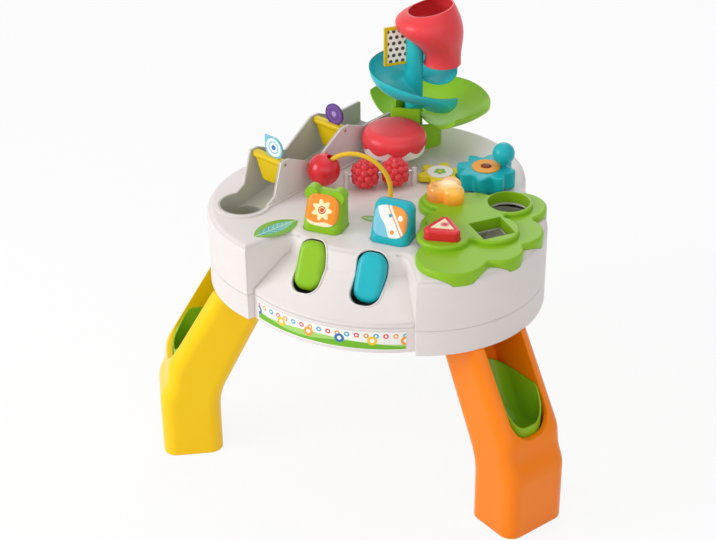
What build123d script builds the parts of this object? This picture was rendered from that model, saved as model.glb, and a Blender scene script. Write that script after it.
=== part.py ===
from build123d import *
import os
from math import atan2, cos, degrees, hypot, pi, radians, sin, tan

os.makedirs("parts", exist_ok=True)

# Driving dimensions, in millimetres and degrees.
# Places on the deck are given as x, y from the middle of the three legs.

# Walls and gaps
wall = 3.0
seat_gap = 0.3
run_gap = 0.05
button_gap = 0.5
boss_radius = 5.0
screw_radius = 1.5
screw_head_radius = 3.2
screw_head_height = 2.4

# Table body: three round lobes, an upper shell and a lower shell
body_bottom_z = 242.0
seam_z = 276.0
deck_z = 345.0
lobe_offset = 73.0
lobe_radius = 156.5
waist_round = 40.0
deck_round = 9.0

# Front apron that drops from the deck to the tray
apron_half_angle = 31.0
apron_top_radius = 150.0
apron_crease_round = 10.0
apron_corner_search = 3.0
shoulder_round = 10.0
apron_foot_radius = 154.0
apron_foot_z = 318.0
tray_radius = 207.0
tray_lip_z = 283.0
label_thickness = 0.6
label_height = 25.0
label_half_angle = 28.0

# Legs
leg_angles = {"leg_left": 210.0, "leg_right": 330.0, "leg_rear": 90.0}
leg_width = 95.0
leg_top_inner = 148.0
leg_top_outer = 229.0
foot_inner = 228.0
foot_outer = 307.0
boot_height = 86.0
ankle_radius = 297.0
ankle_z = 108.0
knee_radius = 294.0
knee_z = 134.0
leg_round = 18.0
bend_round = 40.0
heel_round = 90.0
boot_wall = 4.0
channel_width = 60.0
channel_floor_z = 112.0
channel_wall = 9.0
window_low_z = 132.0
window_round = 28.0
window_reach = 222.0
cup_lip_z = 136.0
cup_back_z = 190.0
cup_front_round = 22.0
cup_wall = 2.5
leg_screw_spread = 40.5
leg_screw_radius = 186.0
leg_screw_length = 20.0

# Ball well over the left leg and ball track back to the tower
ball_bore = 29.0
well_angle = 208.5
well_distance = 184.0
track_angle = 71.0
track_half = 25.0
track_wall = 1.6
track_rear = 255.0
track_rear_z = 364.0
track_front_z = 328.0
track_front = 24.0
fairing_wall = 2.0
fairing_base = 2.5
fairing_foot = 3.0
gate_places = {"front_gate": (50.0, 398.0), "rear_gate": (164.0, 404.0)}
valley_drop = 24.0
gate_axle_radius = 2.0
gate_axle_drop = 6.0
gate_bar_radius = 5.0
gate_top_width = 46.0
gate_tip_width = 20.0
gate_thickness = 4.0
gate_length = 32.0
sign_thickness = 2.4
sign_radius = 15.0
sign_side = 10.0
sign_sink = 2.0

# Ball tower
tower_at = (-24.0, 159.5)
tower_flange_radius = 25.0
tower_flange_height = 4.0
tower_foot_radius = 16.0
tower_foot_z = 366.0
tower_post_radius = 9.0
tower_post_z = 462.0
skirt_top_z = 411.0
skirt_length = 43.0
fin_length = 36.0
apse_half_width = 38.0
apse_depth = 22.0
apse_left = 30.0
apse_left_top_z = 405.0
apse_right_top_z = 380.0
apse_step = 8.0
sleeve_wall = 3.0
sleeve_joint_z = 398.5
dish_wall = 3.0
dish_steps = 8
# Each dish place: angle round the tower, floor height, outer radius, rim height
lower_dish_run = ((-30.0, 388.0, 86.0, 22.0), (20.0, 384.0, 104.0, 24.0), (70.0, 380.0, 100.0, 28.0),
                  (161.0, 372.0, 77.7, 28.0))
upper_dish_run = ((10.0, 437.0, 58.0, 22.0), (105.0, 436.0, 60.0, 28.0), (200.0, 434.0, 60.0, 30.0),
                  (290.0, 424.0, 60.0, 22.0), (370.0, 400.0, 60.0, 16.0))
blue_post_top_z = 505.0
funnel_angle = 21.6
funnel_door_width = 46.0
funnel_door_top_z = 489.0
outlet_offset = 37.5
outlet_radius = 25.0
outlet_bottom_z = 463.0
outlet_top_z = 478.0
bowl_offset = 21.5
bowl_radius = 43.0
bowl_z = 512.0
mouth_radius = 31.0
mouth_z = 541.0
mouth_tilt = 12.0
funnel_wall = 2.5
plaque_width = 34.0
plaque_height = 54.0
plaque_bottom_z = 464.0
plaque_thickness = 4.0
plaque_angle = 222.0
plaque_groove = 4.0

# Keys on the apron
key_spread = 39.0
key_y = -160.0
key_z = 322.0
key_lean = 30.0
key_width = 36.0
key_length = 62.0
key_depth = 32.0
key_corner = 15.0
key_round = 8.0
key_gap_side = 0.7
key_gap_low = 3.2
key_gap_high = 1.4
key_axle_y = -128.0
key_axle_z = 326.0
key_axle_radius = 2.0
key_rib_spread = 64.0
key_rib_thickness = 4.0
key_rib_half = 4.5

# Press buttons with a hood
hood_places = {"eared_button": (-42.0, -98.0), "hooded_button": (46.0, -94.0)}
hood_width = 50.0
hood_depth = 40.0
hood_height = 48.0
hood_lean = 18.0
hood_sill = 6.0
hood_round = 10.0
hood_crown_round = 12.0
hood_flange = 2.5
face_thickness = 1.2
face_sink = 1.5
face_width = 37.0
face_height = 34.0
face_corner = 14.0
ear_radius = 9.5
ear_depth = 14.0
ear_spread = 17.0
press_travel = 3.0
board_drop = 17.0
board_thickness = 1.6
board_width = 170.0
board_depth = 48.0
board_at = (2.0, -87.0)
board_post_radius = 4.0
pad_radius = 8.0

# Mushroom drum
drum_at = (-24.6, 89.2)
drum_stem_radius = 18.0
drum_stem_height = 19.0
drum_plunger_radius = 8.0
drum_gap = 4.0
drum_rim_height = 14.0
drum_rim_flare = 6.0
drum_rim_radius = 40.5
drum_cap_radius = 42.5
drum_cap_height = 18.0

# Bead arch and the two berry rollers behind it
arch_left = (-85.0, -15.0)
arch_right = (7.0, -4.0)
arch_straight = 12.0
arch_wire = 3.0
bead_radius = 21.5
bead_angle = 156.0
berry_places = ((-34.5, 12.0), (-0.5, 32.0))
berry_radius = 18.0
berry_axle_radius = 2.0
berry_axle_height = 20.5
berry_post_gap = 3.0
berry_post_radius = 3.5

# Meshing gears
crank_at = (108.0, 76.0)
crank_teeth = 8
spin_teeth = 6
gear_tooth_depth = 5.0
crank_tooth_circle = 33.5
spin_tooth_circle = 25.0
gear_centres = 61.0
gear_edge_round = 2.0
gear_points = 8
gear_mesh_angle = 186.0
gear_washer = 3.0
crank_height = 24.0
spin_height = 8.0
gear_post_radius = 5.0
gear_post_flange = 10.0
ring_outer = 18.5
ring_inner = 7.0
ring_height = 1.4
knob_radius = 14.5
knob_offset = 23.0
knob_angle = 35.0
knob_stem = 16.5
knob_stem_radius = 4.0

# Tree panel with sorter holes, light and triangle button
terrace_low = 9.0
terrace_high = 6.0
crown_drop = 8.0
terrace_notch_round = 5.0
terrace_edge_round = 3.0
low_lobes = ((134, -126, 44), (178, -88, 32), (184, -38, 36), (160, -54, 38), (168, 24, 37),
             (104, -52, 36), (80, 0, 34), (120, 3, 34))
high_lobes = ((110, -90, 33), (106, -52, 31), (80, 0, 29), (118, 0, 29), (158, 18, 30.5),
              (160, -54, 34), (138, -30, 28))
round_hole_at = (158.0, 18.0)
round_hole_radius = 26.5
square_hole_at = (160.0, -54.0)
square_hole_side = 43.0
square_hole_turn = 45.0
triangle_at = (110.0, -92.0)
triangle_side = 56.0
triangle_turn = 12.0
triangle_corner = 8.0
triangle_height = 13.0
inlay_thickness = 1.0
dome_at = (82.0, 0.0)
dome_lobe = 14.0
dome_spread = 11.5
dome_height = 20.0
dome_wall = 2.0
lamp_radius = 2.5

# Sorter hopper under the panel
hopper_wall = 2.0
hopper_head = 6.0
hopper_x = (126.0, 189.0)
hopper_y = (-124.0, 50.0)
hopper_corner = 24.0
hopper_drop_y = -64.0
hopper_high_z = 314.0
hopper_low_z = 272.0

# Inside the lower shell
shell_screw_places = ((-100, -140), (100, -140), (150, 78), (20, 205), (-135, 105), (-190, -10))
shell_screw_head_z = 258.0
shell_screw_length = 30.0
battery_at = (0.0, 40.0)
battery_radius = 7.25
battery_length = 50.5
battery_count = 3
battery_clear = 1.0
battery_ledge = 9.0
battery_lip = 3.0
door_screw_length = 9.0
speaker_at = (76.0, 66.0)
speaker_radius = 25.0
speaker_height = 17.0
grille_hole = 2.0
grille_step = 8.0
grille_across = 5
switch_at = (-70.0, 60.0)
switch_travel = 4.0
switch_width = 8.0
switch_length = 10.0

# Stickers
sticker_thickness = 0.5
leaf_at = (-97.0, -128.0)
leaf_length = 66.0
leaf_width = 36.0
leaf_turn = 60.0
sprig_at = (3.0, -62.0)
sprig_length = 26.0

# Values worked out from the dimensions above
label_radius = tray_radius + seat_gap
hub_y = (label_radius + label_thickness - foot_outer) / 2
hub_axis = Axis((0, hub_y, 0), (0, 0, 1))
floor_z = body_bottom_z + wall
deck_under = deck_z - wall
well_at = (well_distance * cos(radians(well_angle)), well_distance * sin(radians(well_angle)))
track_dir = (cos(radians(track_angle)), sin(radians(track_angle)))
track_side = (-track_dir[1], track_dir[0])
liner_half = track_half + track_wall
fairing_in = liner_half + seat_gap
fairing_out = fairing_in + fairing_wall
panel_z = deck_z + terrace_low + terrace_high
arch_span = hypot(arch_right[0] - arch_left[0], arch_right[1] - arch_left[1])
arch_radius = arch_span / 2
arch_turn = degrees(atan2(arch_right[1] - arch_left[1], arch_right[0] - arch_left[0]))
arch_mid = ((arch_left[0] + arch_right[0]) / 2, (arch_left[1] + arch_right[1]) / 2)
arch_centre_z = deck_z + arch_straight
spin_at = (crank_at[0] + gear_centres * cos(radians(gear_mesh_angle)),
           crank_at[1] + gear_centres * sin(radians(gear_mesh_angle)))
gear_z = deck_z + gear_washer + seat_gap


def level(z, at=(0, 0), turn=0):
    """Horizontal plane at height z over a place on the deck."""
    a = radians(turn)
    return Plane((at[0], hub_y + at[1], z), x_dir=(cos(a), sin(a), 0), z_dir=(0, 0, 1))


def upright(at, angle, z=0, out=0):
    """Upright plane through a place: x points outward along the angle, y up."""
    a = radians(angle)
    origin = (at[0] + out * cos(a), hub_y + at[1] + out * sin(a), z)
    return Plane(origin, x_dir=(cos(a), sin(a), 0), z_dir=(sin(a), -cos(a), 0))


def facing(at, angle, z=0, out=0):
    """Upright plane whose normal points outward along the angle, y up."""
    a = radians(angle)
    origin = (at[0] + out * cos(a), hub_y + at[1] + out * sin(a), z)
    return Plane(origin, x_dir=(-sin(a), cos(a), 0), z_dir=(cos(a), sin(a), 0))


def along_track(distance, side=0):
    """Place on the deck, measured from the ball well along the track."""
    return (well_at[0] + distance * track_dir[0] + side * track_side[0],
            well_at[1] + distance * track_dir[1] + side * track_side[1])


def save(piece, label):
    """Name a finished piece and write it."""
    piece.part.label = label
    export_step(piece.part, f"parts/{label}.step")


def outline(points, mode=Mode.ADD):
    """Closed face through points in the current sketch."""
    with BuildLine() as edge:
        Polyline(*points, close=True)
    make_face(edge.edges(), mode=mode)


def trefoil(sketch, inset=0):
    """Three lobes with softened waists, in the current sketch."""
    for angle in leg_angles.values():
        a = radians(angle)
        with Locations((lobe_offset * cos(a), lobe_offset * sin(a))):
            Circle(lobe_radius - inset)
    waists = [v for v in sketch.vertices() if hypot(v.X, v.Y) < lobe_radius + lobe_offset / 2]
    fillet(waists, waist_round + inset)


def shoulder_plan(sketch, inset=0):
    """Body in plan above the tray: the lobes with the front slice taken out, in the current sketch."""
    half = radians(apron_half_angle)
    far = 2 * lobe_radius
    apex = inset / sin(half)
    trefoil(sketch, inset)
    outline([(0, apex), (-(far + apex) * tan(half), -far), ((far + apex) * tan(half), -far)], Mode.SUBTRACT)
    Circle(apron_top_radius - inset)
    creases = []
    corners = []
    for v in sketch.vertices():
        if v.Y < 0 and abs(atan2(abs(v.X), -v.Y) - half) < radians(apron_corner_search):
            if hypot(v.X, v.Y) < apron_top_radius + apron_crease_round:
                creases.append(v)
            else:
                corners.append(v)
    fillet(creases, apron_crease_round + inset)
    fillet(corners, shoulder_round - inset)


def tray_plan(inset=0):
    """Tray in plan: a pie slice at the front, in the current sketch."""
    half = radians(apron_half_angle)
    reach = tray_radius - inset
    left = (-reach * sin(half), -reach * cos(half))
    right = (reach * sin(half), -reach * cos(half))
    with BuildLine() as edge:
        Line((0, 0), left)
        ThreePointArc(left, (0, -reach), right)
        Line(right, (0, 0))
    make_face(edge.edges())


def tray_side(inset=0):
    """Tray in side view, out from the hub and up, in the current sketch."""
    heel = apron_top_radius - apron_crease_round
    outline([(heel, seam_z), (tray_radius - inset, seam_z), (tray_radius - inset, tray_lip_z - inset),
             (apron_foot_radius - inset, apron_foot_z - inset),
             (apron_top_radius - inset, deck_z - deck_round - inset), (heel, deck_z - deck_round - inset)])


# Deck shell: upper half of the body with the apron
with BuildPart() as deck_core:
    with BuildSketch(level(seam_z)) as core_plan:
        shoulder_plan(core_plan, wall)
    extrude(amount=deck_under - seam_z)
    with BuildSketch(upright((0, 0), 270 - apron_half_angle)):
        tray_side(wall)
    revolve(axis=hub_axis, revolution_arc=2 * apron_half_angle)


def key_plane(side):
    """Plane on the face of a key: x across, y up the slope, normal out of the apron."""
    lean = radians(key_lean)
    return Plane((side * key_spread, hub_y + key_y, key_z), x_dir=(1, 0, 0), z_dir=(0, -cos(lean), sin(lean)))


def hood_footprint(grow):
    RectangleRounded(hood_width + 2 * grow, hood_depth + 2 * grow, hood_round + grow)


def triangle_outline(grow):
    """Rounded triangle pointing up the panel, in the current sketch."""
    reach = triangle_side / 3 ** 0.5
    corners = []
    for k in range(3):
        a = radians(90 + triangle_turn + 120 * k)
        corners.append((reach * cos(a), reach * sin(a)))
    with BuildLine() as edge:
        FilletPolyline(*corners, radius=triangle_corner, close=True)
    make_face(edge.edges())
    if grow:
        offset(amount=grow)


def clover(radius, spread):
    """Three overlapping rounds, in the current sketch."""
    with PolarLocations(spread, 3, start_angle=90):
        Circle(radius)


with BuildPart() as deck_shell:
    with BuildSketch(level(seam_z)) as deck_plan:
        shoulder_plan(deck_plan)
    extrude(amount=deck_z - seam_z)
    fillet(deck_shell.faces().sort_by(Axis.Z)[-1].edges(), deck_round)
    with BuildSketch(upright((0, 0), 270 - apron_half_angle)):
        tray_side()
    revolve(axis=hub_axis, revolution_arc=2 * apron_half_angle)
    add(deck_core.part, mode=Mode.SUBTRACT)
    # Screw bosses, board posts and the ribs that carry the key axle
    with BuildSketch(level(seam_z)):
        with Locations(*shell_screw_places):
            Circle(boss_radius)
    extrude(amount=deck_under - seam_z + wall / 2)
    with BuildSketch(level(deck_z - board_drop, board_at)):
        with GridLocations(board_width - 3 * board_post_radius, board_depth - 3 * board_post_radius, 2, 2):
            Circle(board_post_radius)
    extrude(amount=board_drop - wall / 2)
    for rib_x in (-key_rib_spread, 0, key_rib_spread):
        with BuildSketch(Plane((rib_x, hub_y + key_axle_y, key_axle_z), x_dir=(0, 1, 0), z_dir=(1, 0, 0))):
            rib_height = deck_under + wall / 2 - key_axle_z
            with Locations((0, rib_height / 2)):
                Rectangle(2 * key_rib_half, rib_height)
            Circle(key_rib_half)
            Circle(key_axle_radius + run_gap, mode=Mode.SUBTRACT)
        extrude(amount=key_rib_thickness / 2, both=True)
    # Holes
    with BuildSketch(level(seam_z)):
        with Locations(*shell_screw_places):
            Circle(screw_radius + run_gap)
    extrude(amount=shell_screw_head_z + shell_screw_length + 2 - seam_z, mode=Mode.SUBTRACT)
    for side in (-1, 1):
        with BuildSketch(key_plane(side)):
            with Locations((0, (key_gap_high - key_gap_low) / 2)):
                RectangleRounded(key_width + 2 * key_gap_side, key_length + key_gap_high + key_gap_low,
                                 key_corner)
        extrude(amount=key_depth + 8, both=True, mode=Mode.SUBTRACT)
    with BuildSketch(level(deck_under - 1)):
        with Locations(well_at):
            Circle(ball_bore + track_wall + seat_gap)
        with Locations(along_track(track_rear / 2)):
            Rectangle(track_rear + 2 * seat_gap, 2 * fairing_in, rotation=track_angle)
        with Locations(*hood_places.values()):
            hood_footprint(button_gap)
        with Locations(drum_at):
            Circle(drum_plunger_radius + 2 * button_gap)
        with Locations(round_hole_at):
            Circle(round_hole_radius)
        with Locations(square_hole_at):
            Rectangle(square_hole_side, square_hole_side, rotation=square_hole_turn)
        with Locations(arch_left, arch_right):
            Circle(arch_wire + run_gap)
        with Locations(dome_at):
            Circle(lamp_radius + button_gap)
    extrude(amount=wall + 2, mode=Mode.SUBTRACT)
    with BuildSketch(level(deck_under - 1, triangle_at)):
        triangle_outline(button_gap)
    extrude(amount=wall + 2, mode=Mode.SUBTRACT)
save(deck_shell, "deck_shell")

# Lower shell: floor of the body with the battery box and screw bosses
right_drop = (well_distance * cos(radians(leg_angles["leg_right"])),
              well_distance * sin(radians(leg_angles["leg_right"])))
battery_room = (battery_length + 2 * battery_clear, 2 * battery_radius * battery_count + 2 * battery_clear)
door_room = (battery_room[0] + 2 * battery_ledge, battery_room[1] + 2 * battery_lip)
battery_box_top = floor_z + 2 * battery_radius + 2 * battery_clear + wall
door_screw_at = (battery_at[0] + battery_room[0] / 2 + battery_ledge / 2, battery_at[1])


def leg_screw_places(angle):
    """Two screws on each leg, one each side of the ball channel."""
    a = radians(angle)
    return [(leg_screw_radius * cos(a) - side * leg_screw_spread * sin(a),
             leg_screw_radius * sin(a) + side * leg_screw_spread * cos(a)) for side in (-1, 1)]


all_leg_screws = [place for angle in leg_angles.values() for place in leg_screw_places(angle)]

with BuildPart() as lower_core:
    with BuildSketch(level(floor_z)) as lower_core_plan:
        shoulder_plan(lower_core_plan, wall)
        tray_plan(wall)
    extrude(amount=seam_z - floor_z)

with BuildPart() as lower_shell:
    with BuildSketch(level(body_bottom_z)) as lower_plan:
        shoulder_plan(lower_plan)
        tray_plan()
    extrude(amount=seam_z - body_bottom_z)
    add(lower_core.part, mode=Mode.SUBTRACT)
    with BuildSketch(level(floor_z)):
        with Locations(*shell_screw_places):
            Circle(boss_radius)
    extrude(amount=seam_z - floor_z)
    with BuildSketch(level(floor_z, battery_at)):
        Rectangle(door_room[0] + 2 * wall, door_room[1] + 2 * wall)
    extrude(amount=battery_box_top - floor_z)
    with BuildSketch(level(floor_z, speaker_at)):
        Circle(speaker_radius + seat_gap + wall)
        Circle(speaker_radius + seat_gap, mode=Mode.SUBTRACT)
    extrude(amount=wall)
    # Openings in the floor
    with BuildSketch(level(body_bottom_z, battery_at)):
        Rectangle(*battery_room)
    extrude(amount=battery_box_top - wall - body_bottom_z, mode=Mode.SUBTRACT)
    with BuildSketch(level(body_bottom_z)):
        with Locations(battery_at):
            Rectangle(*door_room)
        with Locations(well_at, right_drop):
            Circle(ball_bore)
        with Locations(*all_leg_screws):
            Circle(screw_radius + seat_gap)
        with Locations(speaker_at):
            with HexLocations(grille_step / 2, grille_across, grille_across):
                Circle(grille_hole)
        with Locations(switch_at):
            Rectangle(switch_length + 2 * switch_travel + 2 * seat_gap, switch_width + 2 * seat_gap)
    extrude(amount=wall, mode=Mode.SUBTRACT)
    with BuildSketch(level(body_bottom_z)):
        with Locations(*shell_screw_places):
            Circle(screw_head_radius + seat_gap)
    extrude(amount=shell_screw_head_z - body_bottom_z, mode=Mode.SUBTRACT)
    with BuildSketch(level(shell_screw_head_z)):
        with Locations(*shell_screw_places):
            Circle(screw_radius + seat_gap)
    extrude(amount=seam_z - shell_screw_head_z, mode=Mode.SUBTRACT)
    with BuildSketch(level(floor_z, door_screw_at)):
        Circle(screw_radius + run_gap)
    extrude(amount=door_screw_length, mode=Mode.SUBTRACT)
save(lower_shell, "lower_shell")

# Printed band on the front of the tray
with BuildPart() as front_label:
    with BuildSketch(upright((0, 0), 270 - label_half_angle)):
        with Locations((label_radius + label_thickness / 2, (body_bottom_z + seam_z) / 2)):
            Rectangle(label_thickness, label_height)
    revolve(axis=hub_axis, revolution_arc=2 * label_half_angle)
save(front_label, "front_label")


def make_screws(places, head_z, length, upward, head_height=screw_head_height):
    """A set of like screws; the head lies behind head_z and the shank ahead of it."""
    way = 1 if upward else -1
    with BuildPart() as screws:
        with BuildSketch(level(head_z)):
            with Locations(*places):
                Circle(screw_head_radius)
        extrude(amount=-way * head_height)
        with BuildSketch(level(head_z)):
            with Locations(*places):
                Circle(screw_radius)
        extrude(amount=way * length)
        with BuildSketch(level(head_z - way * head_height)):
            with Locations(*places):
                Rectangle(screw_radius * 2.4, screw_radius * 0.6)
                Rectangle(screw_radius * 0.6, screw_radius * 2.4)
        extrude(amount=way * head_height * 0.6, mode=Mode.SUBTRACT)
    return screws


save(make_screws(shell_screw_places, shell_screw_head_z, shell_screw_length, True), "shell_screws")
save(make_screws(all_leg_screws, floor_z, leg_screw_length, False), "leg_screws")


def make_leg(angle, drop):
    """A hollow leg moulding; with a drop it has the window for the cup."""
    with BuildPart() as leg:
        with BuildSketch(upright((0, 0), angle)) as side:
            outline([(leg_top_inner, body_bottom_z), (foot_inner, boot_height), (foot_inner, 0),
                     (foot_outer, 0), (foot_outer, boot_height), (ankle_radius, ankle_z),
                     (knee_radius, knee_z), (leg_top_outer, body_bottom_z)])
            bends = [v for v in side.vertices() if 1 < v.Y < body_bottom_z - 1]
            fillet([v for v in bends if v.X > foot_inner + leg_round], bend_round)
            fillet(side.vertices().sort_by_distance((foot_inner, boot_height, 0))[0], heel_round)
        extrude(amount=leg_width / 2, both=True)
        long_edges = [e for e in leg.edges() if abs((e @ 1).Z - (e @ 0).Z) > 1]
        fillet(long_edges, leg_round)
        with BuildSketch(level(0, turn=angle)):
            with Locations(((foot_inner + foot_outer) / 2, 0)):
                RectangleRounded(foot_outer - foot_inner - 2 * boot_wall, leg_width - 2 * boot_wall,
                                 leg_round - boot_wall)
        extrude(amount=boot_height - 2 * boot_wall, mode=Mode.SUBTRACT)
        with BuildSketch(level(body_bottom_z)):
            with Locations(*leg_screw_places(angle)):
                Circle(screw_radius + run_gap)
        extrude(amount=-leg_screw_length, mode=Mode.SUBTRACT)
        lean = (foot_inner - leg_top_inner) / (body_bottom_z - boot_height)
        inner_top = leg_top_inner + channel_wall - lean * wall
        inner_low = leg_top_inner + channel_wall + lean * (body_bottom_z - channel_floor_z)
        outer_lean = (knee_radius - leg_top_outer) / (body_bottom_z - knee_z)
        outer_top = leg_top_outer - boot_wall - outer_lean * wall
        outer_low = knee_radius - 2 * boot_wall
        with BuildSketch(upright((0, 0), angle)):
            outline([(inner_top, body_bottom_z + wall), (outer_top, body_bottom_z + wall),
                     (outer_low, knee_z), (outer_low, channel_floor_z), (inner_low, channel_floor_z)])
        extrude(amount=channel_width / 2, both=True, mode=Mode.SUBTRACT)
        if drop:
            window_height = body_bottom_z + 2 * window_round - window_low_z
            with BuildSketch(facing((0, 0), angle, window_low_z + window_height / 2, foot_outer)):
                RectangleRounded(channel_width, window_height, window_round)
            extrude(amount=window_reach - foot_outer, mode=Mode.SUBTRACT)
    return leg


def make_cup(angle):
    """Scoop in the foot of a ball channel: a low lip in the window and a tall leaning back."""
    half = channel_width / 2 - seat_gap
    lean = (foot_inner - leg_top_inner) / (body_bottom_z - boot_height)
    back_low = leg_top_inner + channel_wall + lean * (body_bottom_z - channel_floor_z) + seat_gap
    back_high = back_low - lean * (cup_back_z - channel_floor_z)
    front = knee_radius - 2 * boot_wall - seat_gap
    with BuildPart() as cup:
        with BuildSketch(upright((0, 0), angle)):
            outline([(back_low, channel_floor_z), (front, channel_floor_z), (front, cup_lip_z),
                     (back_high, cup_back_z)])
        extrude(amount=half, both=True)
        fillet(cup.edges().filter_by(Axis.Z), cup_front_round)
        offset(cup.part, amount=-cup_wall, openings=cup.faces().sort_by(Axis.Z)[-1:])
    return cup


leg_left = make_leg(leg_angles["leg_left"], True)
leg_right = make_leg(leg_angles["leg_right"], True)
leg_rear = make_leg(leg_angles["leg_rear"], False)
save(leg_left, "leg_left")
save(leg_right, "leg_right")
save(leg_rear, "leg_rear")
save(make_cup(leg_angles["leg_left"]), "left_ball_cup")
save(make_cup(leg_angles["leg_right"]), "right_ball_cup")

# Battery door, cells and its screw
with BuildPart() as battery_door:
    with BuildSketch(level(body_bottom_z, battery_at)):
        RectangleRounded(door_room[0] - 2 * seat_gap, door_room[1] - 2 * seat_gap, wall)
    extrude(amount=wall)
    with BuildSketch(level(body_bottom_z, door_screw_at)):
        Circle(screw_head_radius + seat_gap)
    extrude(amount=wall / 2, mode=Mode.SUBTRACT)
    with BuildSketch(level(body_bottom_z, door_screw_at)):
        Circle(screw_radius + seat_gap)
    extrude(amount=wall, mode=Mode.SUBTRACT)
save(battery_door, "battery_door")

door_screw = make_screws([door_screw_at], body_bottom_z + wall / 2, door_screw_length + wall / 2 - seat_gap,
                         True, wall / 2 - seat_gap)
save(door_screw, "battery_door_screw")

with BuildPart() as batteries:
    cell_z = floor_z + seat_gap + battery_radius
    cell_plane = Plane((battery_at[0] - battery_length / 2, hub_y + battery_at[1], cell_z),
                       x_dir=(0, 1, 0), z_dir=(1, 0, 0))
    with BuildSketch(cell_plane):
        with GridLocations(2 * battery_radius, 1, battery_count, 1):
            Circle(battery_radius - run_gap)
    extrude(amount=battery_length)
save(batteries, "batteries")

# Loudspeaker over the grille
with BuildPart() as speaker:
    with BuildSketch(upright(speaker_at, 0, floor_z)):
        outline([(0, wall), (speaker_radius - wall, 0), (speaker_radius, 0), (speaker_radius, wall),
                 (speaker_radius * 0.6, speaker_height / 2), (speaker_radius * 0.6, speaker_height),
                 (0, speaker_height)])
    revolve(axis=Axis((speaker_at[0], hub_y + speaker_at[1], 0), (0, 0, 1)))
save(speaker, "speaker")

# On and off switch under the body
with BuildPart() as power_switch:
    with BuildSketch(level(body_bottom_z + wall / 3, switch_at)):
        RectangleRounded(switch_length, switch_width, 1)
    extrude(amount=wall * 2 / 3 + seat_gap)
    with BuildSketch(level(floor_z + seat_gap, switch_at)):
        Rectangle(switch_length + 4 * switch_travel, switch_width + 2 * wall)
    extrude(amount=wall / 2)
save(power_switch, "power_switch")


# Ball track
def floor_at(distance):
    """Height of the track floor at a distance from the well."""
    climb = (track_rear_z - track_front_z) / (track_rear - track_front)
    return track_front_z + climb * (distance - track_front)


def hill_top():
    """Upper edge of the track walls, from the well to the tower."""
    rim = deck_z + fairing_base
    (front_d, front_z), (rear_d, rear_z) = gate_places.values()
    flat = gate_bar_radius + gate_axle_radius
    middle = (front_d + rear_d) / 2
    return [(front_d - 5 * flat, rim), (front_d - 3 * flat, rim + flat), (front_d - flat, front_z),
            (front_d + flat, front_z), (middle, front_z - valley_drop), (rear_d - flat, rear_z),
            (rear_d + flat, rear_z), (rear_d + 5 * flat, rear_z - valley_drop / 2),
            (track_rear, rear_z - valley_drop / 2)]


def hill_face(base, start):
    """Side face of the track walls above a base line, in the current sketch."""
    outline([(start, base)] + hill_top() + [(track_rear, base)])


with BuildPart() as ball_track:
    with BuildSketch(upright(well_at, track_angle)) as track_side_view:
        outline([(0, floor_at(0) - wall)] + hill_top() + [(track_rear, floor_at(track_rear) - wall)])
        fillet(track_side_view.vertices().group_by(Axis.Z)[-1], gate_axle_radius)
    extrude(amount=liner_half, both=True)
    with BuildSketch(level(floor_z, well_at)):
        Circle(ball_bore + track_wall)
    extrude(amount=deck_z + fairing_base - floor_z)
    with BuildSketch(upright(well_at, track_angle)):
        outline([(0, floor_at(0)), (track_rear, floor_at(track_rear)),
                 (track_rear, mouth_z), (0, mouth_z)])
    extrude(amount=track_half, both=True, mode=Mode.SUBTRACT)
    with BuildSketch(level(floor_z, well_at)):
        Circle(ball_bore)
    extrude(amount=mouth_z - floor_z, mode=Mode.SUBTRACT)
    with BuildSketch(upright(well_at, track_angle)):
        with Locations(*[(d, z - gate_axle_drop) for d, z in gate_places.values()]):
            Circle(gate_axle_radius + run_gap)
    extrude(amount=fairing_out, both=True, mode=Mode.SUBTRACT)
save(ball_track, "ball_track")

with BuildPart() as track_fairing:
    with BuildSketch(level(deck_z)):
        with Locations(along_track(track_rear / 2)):
            Rectangle(track_rear, 2 * (fairing_out + fairing_foot), rotation=track_angle)
        with Locations(well_at):
            Circle(ball_bore + track_wall + seat_gap + fairing_wall + fairing_foot)
    extrude(amount=fairing_base)
    with BuildSketch(upright(well_at, track_angle)):
        hill_face(deck_z, track_front)
    extrude(amount=fairing_out, both=True)
    with BuildSketch(level(deck_z)):
        with Locations(along_track(track_rear / 2)):
            Rectangle(track_rear, 2 * fairing_in, rotation=track_angle)
        with Locations(well_at):
            Circle(ball_bore + track_wall + seat_gap)
    extrude(amount=mouth_z - deck_z, mode=Mode.SUBTRACT)
    with BuildSketch(level(deck_z)):
        with Locations(along_track(track_rear - fairing_wall / 2)):
            Rectangle(fairing_wall, 2 * fairing_out, rotation=track_angle)
    extrude(amount=fairing_base)
    with BuildSketch(upright(well_at, track_angle)):
        with Locations(*[(d, z - gate_axle_drop) for d, z in gate_places.values()]):
            Circle(gate_axle_radius + run_gap)
    extrude(amount=fairing_out, both=True, mode=Mode.SUBTRACT)
save(track_fairing, "track_fairing")


# Swing gates over the track
def make_gate(distance, peak_z):
    """Flap that hangs from a bar across the track."""
    pivot = peak_z - gate_axle_drop
    with BuildPart() as gate:
        with BuildSketch(upright(well_at, track_angle, pivot, distance)):
            Circle(gate_bar_radius)
            with Locations((0, gate_bar_radius / 2)):
                Rectangle(2 * gate_thickness, gate_bar_radius)
        extrude(amount=track_half - button_gap, both=True)
        with BuildSketch(facing(well_at, track_angle, pivot, distance - gate_thickness / 2)) as flap:
            outline([(-gate_top_width / 2, 0), (gate_top_width / 2, 0),
                     (gate_tip_width / 2, -gate_length), (-gate_tip_width / 2, -gate_length)])
            fillet(flap.vertices().group_by(Axis.Z)[0], gate_thickness)
        extrude(amount=gate_thickness)
        with BuildSketch(upright(well_at, track_angle, pivot, distance)):
            Circle(gate_axle_radius + run_gap)
        extrude(amount=track_half, both=True, mode=Mode.SUBTRACT)
    return gate


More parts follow.
